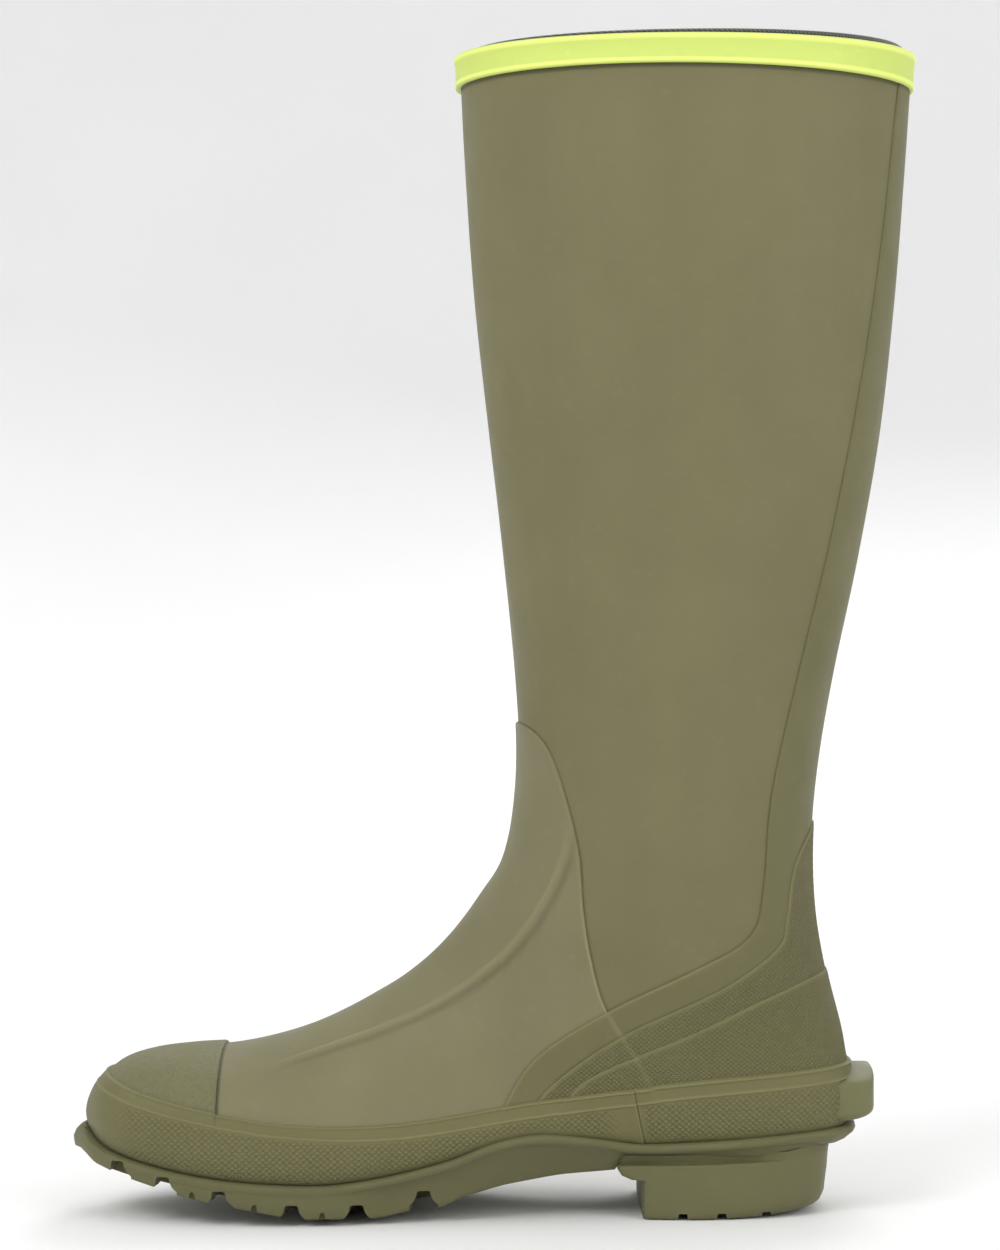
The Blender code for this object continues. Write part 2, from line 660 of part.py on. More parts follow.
# ---------------------------------------------------------------- materials and assembly
OLIVE = (0.212, 0.203, 0.115)
COLOURS = {
    "shaft_rubber": (OLIVE, 0.55),
    "vamp": ((0.222, 0.214, 0.122), 0.55),
    "back_strip": ((0.190, 0.180, 0.100), 0.55),
    "heel_counter_upper": ((0.160, 0.150, 0.080), 0.70),
    "heel_counter_lower": ((0.160, 0.150, 0.080), 0.70),
    "toe_cap": ((0.210, 0.205, 0.108), 0.65),
    "toe_foxing": ((0.165, 0.155, 0.080), 0.65),
    "heel_foxing": ((0.165, 0.155, 0.080), 0.65),
    "top_band": ((0.700, 0.850, 0.210), 0.45),
    "kick_lug": ((0.210, 0.205, 0.100), 0.55),
    "outsole": ((0.160, 0.150, 0.075), 0.60),
    "heel_block": ((0.160, 0.150, 0.075), 0.60),
    "heel_core": ((0.30, 0.20, 0.11), 0.85),
    "steel_shank": ((0.45, 0.46, 0.48), 0.35),
    "forefoot_filler": ((0.35, 0.28, 0.18), 0.90),
    "lasting_board": ((0.42, 0.33, 0.22), 0.90),
    "insulation": ((0.10, 0.10, 0.10), 0.95),
    "lining": ((0.045, 0.050, 0.040), 0.95),
    "lining_seam_tape": ((0.08, 0.08, 0.07), 0.90),
    "ankle_reinforcement": ((0.25, 0.24, 0.18), 0.85),
    "heel_stiffener": ((0.20, 0.19, 0.15), 0.80),
    "toe_puff": ((0.20, 0.19, 0.15), 0.80),
    "footbed_foam": ((0.05, 0.05, 0.05), 0.90),
    "footbed_cover": ((0.07, 0.08, 0.06), 0.95),
}
MAKERS = (
    vamp, toe_cap, back_strip, heel_counter_upper, heel_counter_lower, toe_foxing, heel_foxing,
    top_band, kick_lug, outsole, heel_block, heel_core, steel_shank, forefoot_filler,
    lasting_board, insulation, lining, lining_seam_tape, ankle_reinforcement, heel_stiffener,
    toe_puff, footbed_foam, footbed_cover,
)
ON_THE_HINGE = ("footbed_foam", "footbed_cover")


def shaft_rubber():
    return shell("shaft_rubber", LEG_RUBBER)


def paint(obj):
    """Each sub-part has its own material, with its colour and roughness."""
    colour, rough = COLOURS[obj.name]
    material = bpy.data.materials.new(obj.name)
    material.use_nodes = True
    shader = material.node_tree.nodes["Principled BSDF"]
    shader.inputs["Base Color"].default_value = (*colour, 1.0)
    shader.inputs["Roughness"].default_value = rough
    shader.inputs["Metallic"].default_value = 1.0 if obj.name == "steel_shank" else 0.0
    obj.data.materials.clear()
    obj.data.materials.append(material)


def finish(obj):
    """Drop doubled points left by the cuts, and shade the round faces smooth."""
    bm = bmesh.new()
    bm.from_mesh(obj.data)
    bmesh.ops.remove_doubles(bm, verts=bm.verts, dist=0.02 * MM)
    bmesh.ops.dissolve_degenerate(bm, edges=bm.edges, dist=0.01 * MM)
    bmesh.ops.triangulate(bm, faces=bm.faces)
    bm.to_mesh(obj.data)
    bm.free()
    obj.data.shade_smooth()
    obj.data.set_sharp_from_angle(angle=math.radians(35.0))


def hang_on_hinge(objects):
    """Parent the loose footbed to an empty on the axis at its toe end."""
    pivot = bpy.data.objects.new("footbed_hinge", None)
    bpy.context.scene.collection.objects.link(pivot)
    pivot.location = Vector((HINGE[0], 0.0, HINGE[1])) * MM
    for obj in objects:
        obj.parent = pivot
        obj.location = -pivot.location


def main():
    clear_scene()
    pieces = [make() for make in (shaft_rubber,) + MAKERS]
    for piece in pieces:
        finish(piece)
        paint(piece)
    hang_on_hinge([piece for piece in pieces if piece.name in ON_THE_HINGE])


main()
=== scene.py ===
"""Looks of an insulated rubber hunting boot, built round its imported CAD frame.

The upper is the frame's lofted surface, run again at a fine pitch.  Each sheet of rubber is
a net of that surface, cut along its side view outline, raised over the sheets under it and
rounded at its edge.  Work is in the last's millimetres; to_frame places it on the frame.
"""
import math
from functools import partial
from itertools import chain, islice

import bmesh
import bpy
import numpy as np
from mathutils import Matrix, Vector


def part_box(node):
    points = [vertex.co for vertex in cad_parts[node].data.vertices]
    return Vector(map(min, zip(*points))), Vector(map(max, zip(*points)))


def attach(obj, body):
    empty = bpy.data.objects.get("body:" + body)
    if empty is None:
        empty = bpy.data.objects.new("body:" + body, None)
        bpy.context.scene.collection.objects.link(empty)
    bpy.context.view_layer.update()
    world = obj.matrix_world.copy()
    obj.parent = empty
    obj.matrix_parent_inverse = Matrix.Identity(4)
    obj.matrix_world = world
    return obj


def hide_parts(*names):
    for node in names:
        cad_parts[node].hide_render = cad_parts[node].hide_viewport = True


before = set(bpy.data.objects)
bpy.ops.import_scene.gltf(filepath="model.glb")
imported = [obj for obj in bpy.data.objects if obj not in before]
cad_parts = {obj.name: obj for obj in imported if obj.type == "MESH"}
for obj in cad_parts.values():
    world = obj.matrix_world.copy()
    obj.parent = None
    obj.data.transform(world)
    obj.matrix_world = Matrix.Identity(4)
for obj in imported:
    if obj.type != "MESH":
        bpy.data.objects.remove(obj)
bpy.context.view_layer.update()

MM = 0.001

# ---- driving sizes
# front x, front z, back x, back z, half width, middle y, taper, front and back squareness
STATIONS = np.array((
    (-14.0, 457.2, 165.0, 455.4, 58.5, 0.0, 0.00, 2.1, 2.1),
    (-11.6, 412.0, 162.0, 410.0, 57.5, 0.0, 0.00, 2.1, 2.1),
    (-7.9, 361.0, 158.0, 359.0, 55.5, 0.0, 0.00, 2.1, 2.1),
    (-2.4, 310.0, 152.2, 307.0, 53.0, 0.0, 0.00, 2.1, 2.1),
    (3.0, 262.0, 143.6, 258.5, 50.0, 0.0, 0.00, 2.1, 2.1),
    (7.8, 216.0, 133.6, 212.0, 47.0, 0.0, 0.00, 2.1, 2.1),
    (9.8, 185.0, 127.6, 177.0, 45.0, 0.0, 0.00, 2.1, 2.1),
    (8.9, 162.0, 125.0, 147.0, 43.5, 0.0, 0.02, 2.1, 2.1),
    (5.0, 141.0, 125.8, 119.0, 42.0, 0.0, 0.05, 2.1, 2.2),
    (-4.2, 124.4, 130.2, 92.5, 40.5, 0.5, 0.08, 2.1, 2.3),
    (-14.6, 110.0, 136.6, 65.0, 38.5, 1.0, 0.07, 2.1, 2.6),
    (-24.6, 99.4, 137.6, 39.0, 38.0, 1.0, 0.02, 2.1, 3.0),
    (-35.5, 90.6, 115.0, 27.6, 37.5, 1.5, -0.02, 2.1, 3.4),
    (-46.5, 83.8, 74.5, 27.5, 37.5, 2.0, -0.06, 2.1, 3.6),
    (-58.0, 77.4, 35.5, 27.5, 39.5, 2.8, -0.12, 2.1, 3.8),
    (-71.0, 71.4, -2.0, 24.0, 43.0, 3.4, -0.18, 2.1, 4.0),
    (-86.0, 66.6, -38.0, 16.5, 45.5, 3.6, -0.22, 2.1, 4.0),
    (-103.0, 63.2, -70.0, 13.5, 46.5, 2.4, -0.22, 2.2, 4.0),
    (-119.0, 62.2, -101.0, 15.0, 45.0, 0.2, -0.20, 2.3, 3.8),
    (-134.0, 60.6, -126.0, 19.5, 39.5, -3.2, -0.15, 2.4, 3.2),
    (-146.0, 57.0, -142.5, 24.0, 30.5, -6.0, -0.08, 2.3, 2.6),
    (-153.2, 49.8, -151.5, 28.6, 17.8, -7.6, -0.03, 2.1, 2.2),
    (-157.2, 38.5, -157.2, 38.5, 0.0, -8.2, 0.00, 2.0, 2.0),
))
LAST = len(STATIONS) - 1
TOE_END = LAST - 0.03             # the net stops here and a small face closes it
STATION_RUN = 45.3                # length of leg between the first two stations

# thickness of each sheet, and what lies inside the leg, from the outside of its rubber
VAMP = 1.1
STRIP = 0.9
COUNTER = 0.7
LOWER_COUNTER = 0.7
TOE_CAP = 1.2
FOXING = 4.1                      # outside of the foxing over the leg
FOXING_LEAST = 1.0                # over the sheets behind, along its top edge
LEG_RUBBER = -1.8
INSULATION = (-6.3, -3.0)
LINING = (-7.4, -6.6)
TAPE = -8.1
LAP = 4.0                         # how far a sheet runs on behind the next
LEAST_GAP = 0.02
EDGE_RADIUS = 1.2
BAND_CUTS = (-1.8, -0.9, 0.0, 0.9)   # extra lines on the sheets along the band's lower edge

# side view lines, x and z
VAMP_EDGE = ((6.0, 193.5), (15.9, 188.2), (23.5, 175.7), (32.0, 145.0), (34.1, 121.1),
             (37.2, 101.9), (43.0, 82.4), (56.2, 60.9), (64.0, 46.0))
STRIP_EDGE = ((159.2, 450.0), (148.6, 357.5), (133.2, 273.9), (118.6, 212.1), (108.0, 165.2),
              (105.0, 130.0), (99.9, 110.5), (79.5, 98.2), (43.9, 81.4), (15.7, 62.9),
              (3.0, 43.6), (0.0, 36.0))
COUNTER_EDGE = ((134.0, 160.5), (126.4, 152.3), (117.6, 136.0), (114.2, 115.6), (110.4, 104.9),
                (87.4, 89.3), (48.5, 71.6), (19.5, 50.5), (13.0, 37.0))
LOWER_COUNTER_EDGE = ((150.0, 96.5), (131.1, 95.0), (103.3, 84.9), (79.6, 74.0), (40.8, 58.0),
                      (28.0, 48.0), (22.0, 38.0))
RIDGE = ((31.0, 158.0), (25.3, 132.5), (4.5, 101.3), (-32.3, 77.1), (-94.6, 55.3), (-97.0, 50.0))
FOXING_TOP = ((-175.0, 61.5), (-152.6, 56.4), (-133.9, 50.3), (-105.2, 43.7), (-74.5, 39.4),
              (-36.2, 39.5), (17.6, 47.2), (79.5, 54.5), (137.7, 59.0), (160.0, 60.5))
RIM_LINE = ((-170.0, 40.0), (-162.6, 35.0), (-149.5, 26.9), (-113.0, 19.0), (-74.2, 15.8),
            (-50.0, 17.4), (-20.0, 24.0), (0.0, 31.5), (17.7, 34.5), (40.0, 32.4),
            (56.2, 30.0), (79.3, 30.6), (118.3, 33.3), (140.9, 35.0), (160.0, 36.5))
FOXING_SEAM = ((49.0, 75.0), (60.2, 20.0))
SOLE_BOTTOM = ((-172.0, 29.0), (-164.0, 24.6), (-156.0, 19.0), (-144.4, 15.2), (-132.0, 12.0),
               (-120.6, 8.6), (-94.0, 3.6), (-76.0, 0.0), (-44.0, 0.0), (-34.0, 3.6), (-20.0, 6.0),
               (-13.0, 9.6), (2.2, 13.4), (25.6, 17.0), (47.4, 18.8))
HEEL_BREAST = ((47.6, 24.6), (47.9, 19.4), (49.6, 16.9), (52.8, 15.5), (57.6, 15.1), (57.9, 0.0))

# width and height of one diamond of the relief
FOXING_WEAVE = (2.6, 2.3)
COUNTER_WEAVE = (2.1, 1.7)

# raised beads along the top of the foxing
BEAD_LINES = (0.9, 5.8)
BEAD_HALF = 0.75
BEAD_HIGH = 0.6

# sole
RIM_HIGH = 4.0
TOE_RIM_HIGH = 9.0
REAR_RIM_HIGH = 10.5
REAR_BULGE = 1.0
REAR_TUCK = 9.0
TOE_LIP = 3.8
CROWN = 2.6                       # how far the tread's edges are raised over its middle
TREAD_DEEP = 5.5
LUG_GROOVES = (-146.3, -127.3, -105.0, -77.0, -52.3, -27.0)
SIDE_NICKS = (-116.0, -92.0, -66.0, -39.0)
CHANNEL_SHARE = 0.36              # where the two channels run, in half widths of the sole
HEEL_TOP = 21.3                   # top edge of the heel block, under the recess
HEEL_SLOTS = (73.2, 88.3, 106.0)
HEEL_ROCKER = (15.0, 7.5)         # length and height of the rounding at its back edge
HEEL_CORNER = 2.4
WAIST_X = 22.0
WAIST_REACH = 34.0
WAIST_DEEP = 8.0

# footbed
FOOTBED_SIDE = 9.9
FOOTBED_UNDER = 8.5
FOAM_THICK = 4.2
COVER_THICK = 1.0
FOOTBED_GAP = 0.3                 # between the two
FOOTBED_DISH = 0.25


# ---- the frame
def scale_to_frame():
    """Scale and shift from the last to the frame, from the CAD leg's box."""
    low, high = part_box("shaft_rubber")
    toe, back, top = STATIONS[:, 0].min(), STATIONS[:, 2].max(), STATIONS[:, 1].max()
    scale = (high.x - low.x) / MM / (back - toe)
    return scale, np.array((low.x / MM - toe * scale, 0.0, high.z / MM - top * scale))


SCALE, SHIFT = scale_to_frame()


def to_frame(points):
    """Points in the last's millimetres, as metres of the frame."""
    return (np.asarray(points, float) * SCALE + SHIFT) * MM


def node_box(name):
    """Lowest and highest corner of a CAD node, in the last's millimetres."""
    low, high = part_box(name)
    return (np.array(low) / MM - SHIFT) / SCALE, (np.array(high) / MM - SHIFT) / SCALE


# ---- curves
def spline(values, t):
    """Catmull-Rom through the rows of values at parameter t, straight past the first row."""
    values = np.asarray(values, float)
    t = np.asarray(t, float)
    i = np.clip(np.floor(t).astype(int), 0, len(values) - 2)
    f = (t - i)[..., None]
    before = np.where((i == 0)[..., None], 2 * values[0] - values[1], values[np.maximum(i - 1, 0)])
    after = values[np.minimum(i + 2, len(values) - 1)]
    a, b = values[i], values[i + 1]
    return 0.5 * (2 * a + (b - before) * f + (2 * before - 5 * a + 4 * b - after) * f ** 2
                  + (3 * a - before - 3 * b + after) * f ** 3)


def smooth_line(points, steps=4):
    """Polyline through points with rounded runs between them."""
    ends = np.vstack([points, 2 * np.array(points[-1]) - np.array(points[-2])])
    return spline(ends, np.linspace(0, len(points) - 1, (len(points) - 1) * steps + 1))


def height_on(points, x):
    """Height of a side view line at x."""
    line = smooth_line(points, 6)
    return np.interp(x, line[:, 0], line[:, 1])


def rise(t):
    """Smooth step from 0 to 1 as t goes from 0 to 1."""
    t = np.clip(t, 0.0, 1.0)
    return t * t * (3 - 2 * t)


def ramp(value, start, length):
    """Smooth step from 0 to 1 as the value goes on from start by length."""
    return rise((value - start) / length)


def bell(t):
    """Smooth hump, 1 at t = 0 and 0 past 1 on both sides."""
    return 1 - rise(np.abs(t))


def round_turns(count):
    """Angles of count points once round."""
    return np.linspace(0, 2 * math.pi, count, endpoint=False)


# ---- the boot surface
# one more station past the toe, with front and back exchanged, rounds the toe over
PAST_TOE = STATIONS[-2][[2, 3, 0, 1, 4, 5, 6, 8, 7]] * (1, 1, 1, 1, -1, 1, -1, 1, 1)
TABLE = np.vstack([STATIONS, PAST_TOE])


def section(u, theta):
    """Station row and the two unit coordinates of the rounded section at angle theta."""
    row = spline(TABLE, u)
    c, s = np.cos(theta), np.sin(theta)
    front = (1 + c) / 2
    power = row[..., 7] * front + row[..., 8] * (1 - front)
    reach = (np.abs(c) ** power + np.abs(s) ** power) ** (-1 / power)
    return row, reach * c, reach * s


def base_point(u, theta):
    """Point on the outside of the leg rubber; theta 0 is the front, pi/2 the arch side."""
    row, a, b = section(u, theta)
    x = (row[..., 0] + row[..., 2]) / 2 + (row[..., 0] - row[..., 2]) / 2 * a
    z = (row[..., 1] + row[..., 3]) / 2 + (row[..., 1] - row[..., 3]) / 2 * a
    y = row[..., 5] - row[..., 4] * (1 + row[..., 6] * a) * b
    return np.stack([x, y, z], -1)


def outward(u, theta):
    """Unit normal of the surface by finite differences."""
    u = np.minimum(u, LAST - 0.05)
    du = base_point(u + 0.04, theta) - base_point(u - 0.04, theta)
    dt = base_point(u, theta + 0.02) - base_point(u, theta - 0.02)
    n = np.cross(du, dt)
    return n / np.linalg.norm(n, axis=-1)[..., None]


def surface(u, theta, offset):
    """Point on the surface moved out by offset, by blending the section's four main normals."""
    u, theta, offset = np.broadcast_arrays(*(np.asarray(v, float) for v in (u, theta, offset)))
    _, a, b = section(u, theta)
    a, b = a[..., None], b[..., None]
    stations, back = np.unique(u, return_inverse=True)
    front, heel, arch, far = (outward(stations, 0 * stations + turn)[back].reshape(u.shape + (3,))
                              for turn in (0.0, math.pi, math.pi / 2, -math.pi / 2))
    way = ((front + heel) / 2 + (front - heel) / 2 * a + (arch - far) / 2 * b
           + ((arch + far) / 2 - (front + heel) / 2) * b ** 2)
    return base_point(u, theta) + offset[..., None] * way


# ---- distances on the surface
def beside(points, side=1):
    """Field: distance over the surface from a side view line, positive on its left for side 1."""
    line = smooth_line(points)
    reach = 300.0
    for end, inner in ((0, 1), (-1, -2)):
        way = line[end] - line[inner]
        line[end] = line[end] + way / np.linalg.norm(way) * reach

    def field(p, n):
        x, z = p[:, 0], p[:, 2]
        best = np.full(len(x), 1e9)
        signed = np.zeros(len(x))
        lean = np.zeros(len(x))
        for (ax, az), (bx, bz) in zip(line[:-1], line[1:]):
            dx, dz = bx - ax, bz - az
            long = math.hypot(dx, dz)
            t = np.clip(((x - ax) * dx + (z - az) * dz) / long ** 2, 0, 1)
            ox, oz = x - ax - t * dx, z - az - t * dz
            d = np.hypot(ox, oz)
            near = d < best
            best = np.where(near, d, best)
            signed = np.where(near, np.copysign(d, dx * oz - dz * ox), signed)
            lean = np.where(near, (n[:, 2] * dx - n[:, 0] * dz) / long, lean)
        return side * signed / np.sqrt(np.maximum(1 - lean ** 2, 0.06))
    return field


def line_x(x0, side=1):
    """Field: how far a point is past x0, towards the heel for side 1."""
    return lambda p, n: side * (p[:, 0] - x0)


def line_z(z0, side=1):
    """Field: how far a point is above z0 for side 1."""
    return lambda p, n: side * (p[:, 2] - z0)


def not_past(field, by):
    """Field that is positive until another has risen to by."""
    return lambda p, n: by - field(p, n)


in_vamp = beside(VAMP_EDGE, -1)
in_strip = beside(STRIP_EDGE)
in_counter = beside(COUNTER_EDGE)
in_lower_counter = beside(LOWER_COUNTER_EDGE)
past_ridge = beside(RIDGE)
under_foxing_top = beside(FOXING_TOP, -1)
over_rim = beside(RIM_LINE)
toe_side_of_seam = beside(FOXING_SEAM, -1)
in_toe_cap = line_x(node_box("toe_cap")[1][0], -1)
BAND_LOW, BAND_HIGH = node_box("top_band")[0][2], node_box("top_band")[1][2]


def below_band(p, n):
    """Distance above the lower edge of the lime band, which is arched up at the sides."""
    return p[:, 2] - band_edge((p[:, 1] / 57.0) ** 2, (p[:, 0] + 14.0) / 176.0)


def band_edge(side, rear):
    """Height of the band's lower edge; side and rear run from 0 to 1."""
    return BAND_LOW + 1.7 * side - 1.5 * rear


# ---- nets
def row_stations(first, last, cell):
    """Stations for rows at most a cell apart at the front, side and back."""
    u = np.linspace(first, last, 600)
    steps = [np.linalg.norm(np.diff(base_point(u, 0 * u + turn), axis=0), axis=1)
             for turn in (0.0, math.pi / 2, math.pi)]
    run = np.concatenate([[0.0], np.cumsum(np.max(steps, axis=0))])
    return np.interp(np.linspace(0, run[-1], math.ceil(run[-1] / cell) + 1), run, u)


def columns_for(first, last, cell):
    """How many columns keep a cell's width round the longest section."""
    turns = np.linspace(0, 2 * math.pi, 73)
    longest = max(np.linalg.norm(np.diff(base_point(u + 0 * turns, turns), axis=0), axis=1).sum()
                  for u in np.linspace(first, last, 12))
    return 2 * math.ceil(longest / cell / 2)


class Net:
    """Faces on the boot surface, with each point held as a station and an angle."""

    def __init__(self, first, last, cell, offset, keeps=()):
        """Outlines are measured at offset; the net is kept where every field is positive."""
        rows = row_stations(first, last, cell)
        count = columns_for(first, last, cell)
        turns = round_turns(count)
        self.offset = offset
        self.u, self.theta = (v.ravel() for v in np.meshgrid(rows, turns, indexing="ij"))
        self.p, self.n = self.places(self.u, self.theta)
        start = np.arange(len(rows) - 1)[:, None] * count + np.arange(count)[None, :]
        ahead = np.roll(start, -1, axis=1)
        quads = np.stack([start, ahead, ahead + count, start + count], -1).reshape(-1, 4)
        self.faces = [tuple(q) for q in quads.tolist()]
        if last == TOE_END:
            self.faces.append(tuple(range(len(self.u) - count, len(self.u))))
        for field in keeps:
            self.cut(field, 0.0)
            inside = self.sums(field(self.p, self.n)) > 0
            self.faces = [face for face, kept in zip(self.faces, inside) if kept]
            self.drop_loose()

    def places(self, u, theta):
        """Points at the measuring offset and their normals."""
        return surface(u, theta, self.offset), outward(u, theta)

    def sums(self, values):
        """Sum of a value over each face's points."""
        starts = np.cumsum([0] + [len(face) for face in self.faces[:-1]])
        corners = np.fromiter(chain.from_iterable(self.faces), int)
        return np.add.reduceat(values[corners].astype(float), starts)

    def drop_loose(self):
        """Forget the points that no face uses."""
        used, place = np.unique(np.fromiter(chain.from_iterable(self.faces), int), return_inverse=True)
        self.u, self.theta, self.p, self.n = (v[used] for v in (self.u, self.theta, self.p, self.n))
        place = iter(place.tolist())
        self.faces = [tuple(islice(place, len(face))) for face in self.faces]

    def cut(self, field, *levels):
        """Split the faces along levels of the field."""
        values = field(self.p, self.n)
        for level in levels:
            d = values - level
            above = d >= 0
            whole, mixed = [], []
            for face, count in zip(self.faces, self.sums(above).tolist()):
                (whole if count in (0, len(face)) else mixed).append(face)
            if not mixed:
                continue
            pairs = {}
            for face in mixed:
                halves = {True: [], False: []}
                for i, j in zip(face, face[1:] + face[:1]):
                    halves[bool(above[i])].append(i)
                    if above[i] != above[j]:
                        middle = pairs.setdefault((min(i, j), max(i, j)), len(d) + len(pairs))
                        halves[True].append(middle)
                        halves[False].append(middle)
                whole += [tuple(half) for half in halves.values() if len(half) > 2]
            self.faces = whole
            self.add_between(*np.array(list(pairs)).T, d, field, level)
            values = np.concatenate([values, field(self.p[len(d):], self.n[len(d):])])

    def add_between(self, a, b, d, field, level):
        """New points on the edges a-b where the field passes the level."""
        turn = (self.theta[b] - self.theta[a] + math.pi) % (2 * math.pi) - math.pi
        low, high = np.zeros(len(a)), np.ones(len(a))
        d_low, d_high = d[a].copy(), d[b].copy()
        for _ in range(3):
            t = low + (high - low) * d_low / (d_low - d_high)
            u = self.u[a] + t * (self.u[b] - self.u[a])
            theta = self.theta[a] + t * turn
            p, n = self.places(u, theta)
            value = field(p, n) - level
            same = value * d_low > 0
            low, d_low = np.where(same, t, low), np.where(same, value, d_low)
            high, d_high = np.where(same, high, t), np.where(same, d_high, value)
        for name, more in (("u", u), ("theta", theta), ("p", p), ("n", n)):
            setattr(self, name, np.concatenate([getattr(self, name), more]))

    def edge_cuts(self, field, radius=EDGE_RADIUS):
        """Extra lines beside an edge, so that it can be rounded."""
        self.cut(field, *(share * radius for share in (0.1, 0.3, 0.6, 1.0)))

    def rim(self):
        """Directed edges with a face on one side only."""
        edges = {(i, j) for face in self.faces for i, j in zip(face, face[1:] + face[:1])}
        return [(i, j) for i, j in edges if (j, i) not in edges]


def rounded(d, radius=EDGE_RADIUS, wall=0.35):
    """Share of a sheet's thickness at distance d in from its edge."""
    t = 1 - np.clip(d / radius, 0, 1)
    return wall + (1 - wall) * np.sqrt(np.maximum(1 - t * t, 0))


# ---- objects
def add_object(name, data):
    obj = bpy.data.objects.new(name, data)
    bpy.context.scene.collection.objects.link(obj)
    return obj


def shade_soft(mesh, smooth):
    """Smooth shading, with edges over the given degrees kept sharp."""
    mesh.shade_smooth()
    mesh.set_sharp_from_angle(angle=math.radians(smooth))


def make_object(name, points, faces, smooth=40.0, marks=None):
    """Object from points in the last's millimetres; marks are named values at its points."""
    mesh = bpy.data.meshes.new(name)
    mesh.from_pydata(to_frame(points).tolist(), [], faces)
    bm = bmesh.new()
    bm.from_mesh(mesh)
    bmesh.ops.recalc_face_normals(bm, faces=bm.faces)
    bm.to_mesh(mesh)
    bm.free()
    for mark, values in (marks or {}).items():
        attribute = mesh.attributes.new(mark, "FLOAT", "POINT")
        attribute.data.foreach_set("value", np.asarray(values, np.float32))
    shade_soft(mesh, smooth)
    return add_object(name, mesh)


def sheet(name, net, top, under, smooth=40.0, **marks):
    """Closed sheet between two heights over the leg, given at the net's points."""
    count = len(net.u)
    points = np.vstack([surface(net.u, net.theta, top), surface(net.u, net.theta, under)])
    faces = list(net.faces) + [tuple(i + count for i in face[::-1]) for face in net.faces]
    faces += [(j, i, i + count, j + count) for i, j in net.rim()]
    marks = {mark: np.concatenate([values, 0 * values]) for mark, values in marks.items()}
    return make_object(name, points, faces, smooth, marks)


def walls(levels, count, closed=False):
    """Quads between levels of count points; closed joins the last level to the first."""
    faces = []
    for level in range(levels - (0 if closed else 1)):
        here, there = level * count, (level + 1) % levels * count
        faces += [(here + k, here + (k + 1) % count, there + (k + 1) % count, there + k)
                  for k in range(count)]
    return faces


def loft(name, rings, smooth=40.0, closed=False, edge=None):
    """Solid through rings of equally many points; closed makes a hoop of it."""
    count = len(rings[0])
    faces = walls(len(rings), count, closed)
    if not closed:
        last = len(rings) * count - 1
        faces += [tuple(range(count)), tuple(range(last, last - count, -1))]
    marks = {"edge": np.repeat(edge, count)} if edge else {}
    return make_object(name, np.vstack(rings), faces, smooth, marks)


def combine(obj, tool, smooth=40.0):
    """Cut tool out of obj with an exact Boolean, then drop the tool."""
    modifier = obj.modifiers.new("cut", "BOOLEAN")
    modifier.operation = "DIFFERENCE"
    modifier.solver = "EXACT"
    modifier.object = tool
    graph = bpy.context.evaluated_depsgraph_get()
    result = bpy.data.meshes.new_from_object(obj.evaluated_get(graph))
    obj.modifiers.clear()
    obj.data = result
    shade_soft(result, smooth)
    bpy.data.objects.remove(tool)
    return obj


# ---- heights of the sheets
def leg_height(p, n):
    """Faint unevenness of the hand laid rubber, and the crease where the instep bends."""
    around = np.arctan2(p[:, 1], p[:, 0] - 70.0)
    ripple = (np.sin(3.1 * around + p[:, 2] / 71.0) + np.sin(5.3 * around - p[:, 2] / 43.0 + 1.2)
              + 0.7 * np.sin(7.9 * around + p[:, 2] / 29.0 + 2.1))
    calm = ramp(p[:, 2], 60.0, 80.0)
    crease = bell((p[:, 2] - 0.45 * p[:, 0] - 134.0) / 9.0) * rise((20.0 - p[:, 0]) / 25.0)
    return 0.10 * ripple * calm - 0.55 * crease


# sheets in the order they are laid over the leg: field, thickness, softness of the step
LAYERS = (
    (in_vamp, VAMP, 1.3),
    (in_strip, STRIP, 0.6),
    (in_counter, COUNTER, 0.6),
    (in_lower_counter, LOWER_COUNTER, 0.6),
    (in_toe_cap, TOE_CAP, 0.6),
)


def stack(p, n, count):
    """Height of the leg and the first sheets on it, as it shows through the next one."""
    steps = (thick * rise((field(p, n) + soft) / (2 * soft)) for field, thick, soft in LAYERS[:count])
    return leg_height(p, n) + sum(steps)


def ridge_height(p, n):
    """Edge of the stiffening under the vamp, a soft roll with a knot where it was joined."""
    d = past_ridge(p, n)
    roll = 1.25 * bell((d + 1.0) / 3.2) + 0.35 * ramp(d, -3.0, 5.0)
    knot = 1.0 * bell((p[:, 0] - 14.5) / 3.5) * bell((p[:, 2] - 107.5) / 7.0) * bell(d / 6.0)
    return (roll + knot) * ridge_ends(p)


def ridge_ends(p):
    """Fades the ridge out towards the toe and the shin."""
    return ramp(p[:, 0], -94.0, 34.0) * rise((158.0 - p[:, 2]) / 24.0)


def run_along(p):
    """Length along the side of the foot, carried on round the heel."""
    centre, radius = 100.0, 38.0
    turn = np.arctan2(p[:, 0] - centre, np.abs(p[:, 1] - 1.0))
    return np.where(p[:, 0] < centre, p[:, 0], centre + radius * turn)


def diamonds(p, wide, high):
    """Cross hatched relief, from 0 in its grooves to 1 on its points."""
    along, up = np.pi * run_along(p) / wide, np.pi * p[:, 2] / high
    return np.sqrt(np.abs(np.sin(along + up) * np.sin(along - up)))


def near(d, width=0.9):
    """Mark that is 1 at an edge and fades over width."""
    return 1 - rise(np.abs(d) / width)


def seam_shadow_strength(p):
    """Strength of the painted shade along the seams: strong up the leg and only faint over the foot."""
    return 0.35 + 0.65 * ramp(p[:, 2], 95.0, 50.0) + 0.6 * ramp(p[:, 2], 220.0, 160.0)


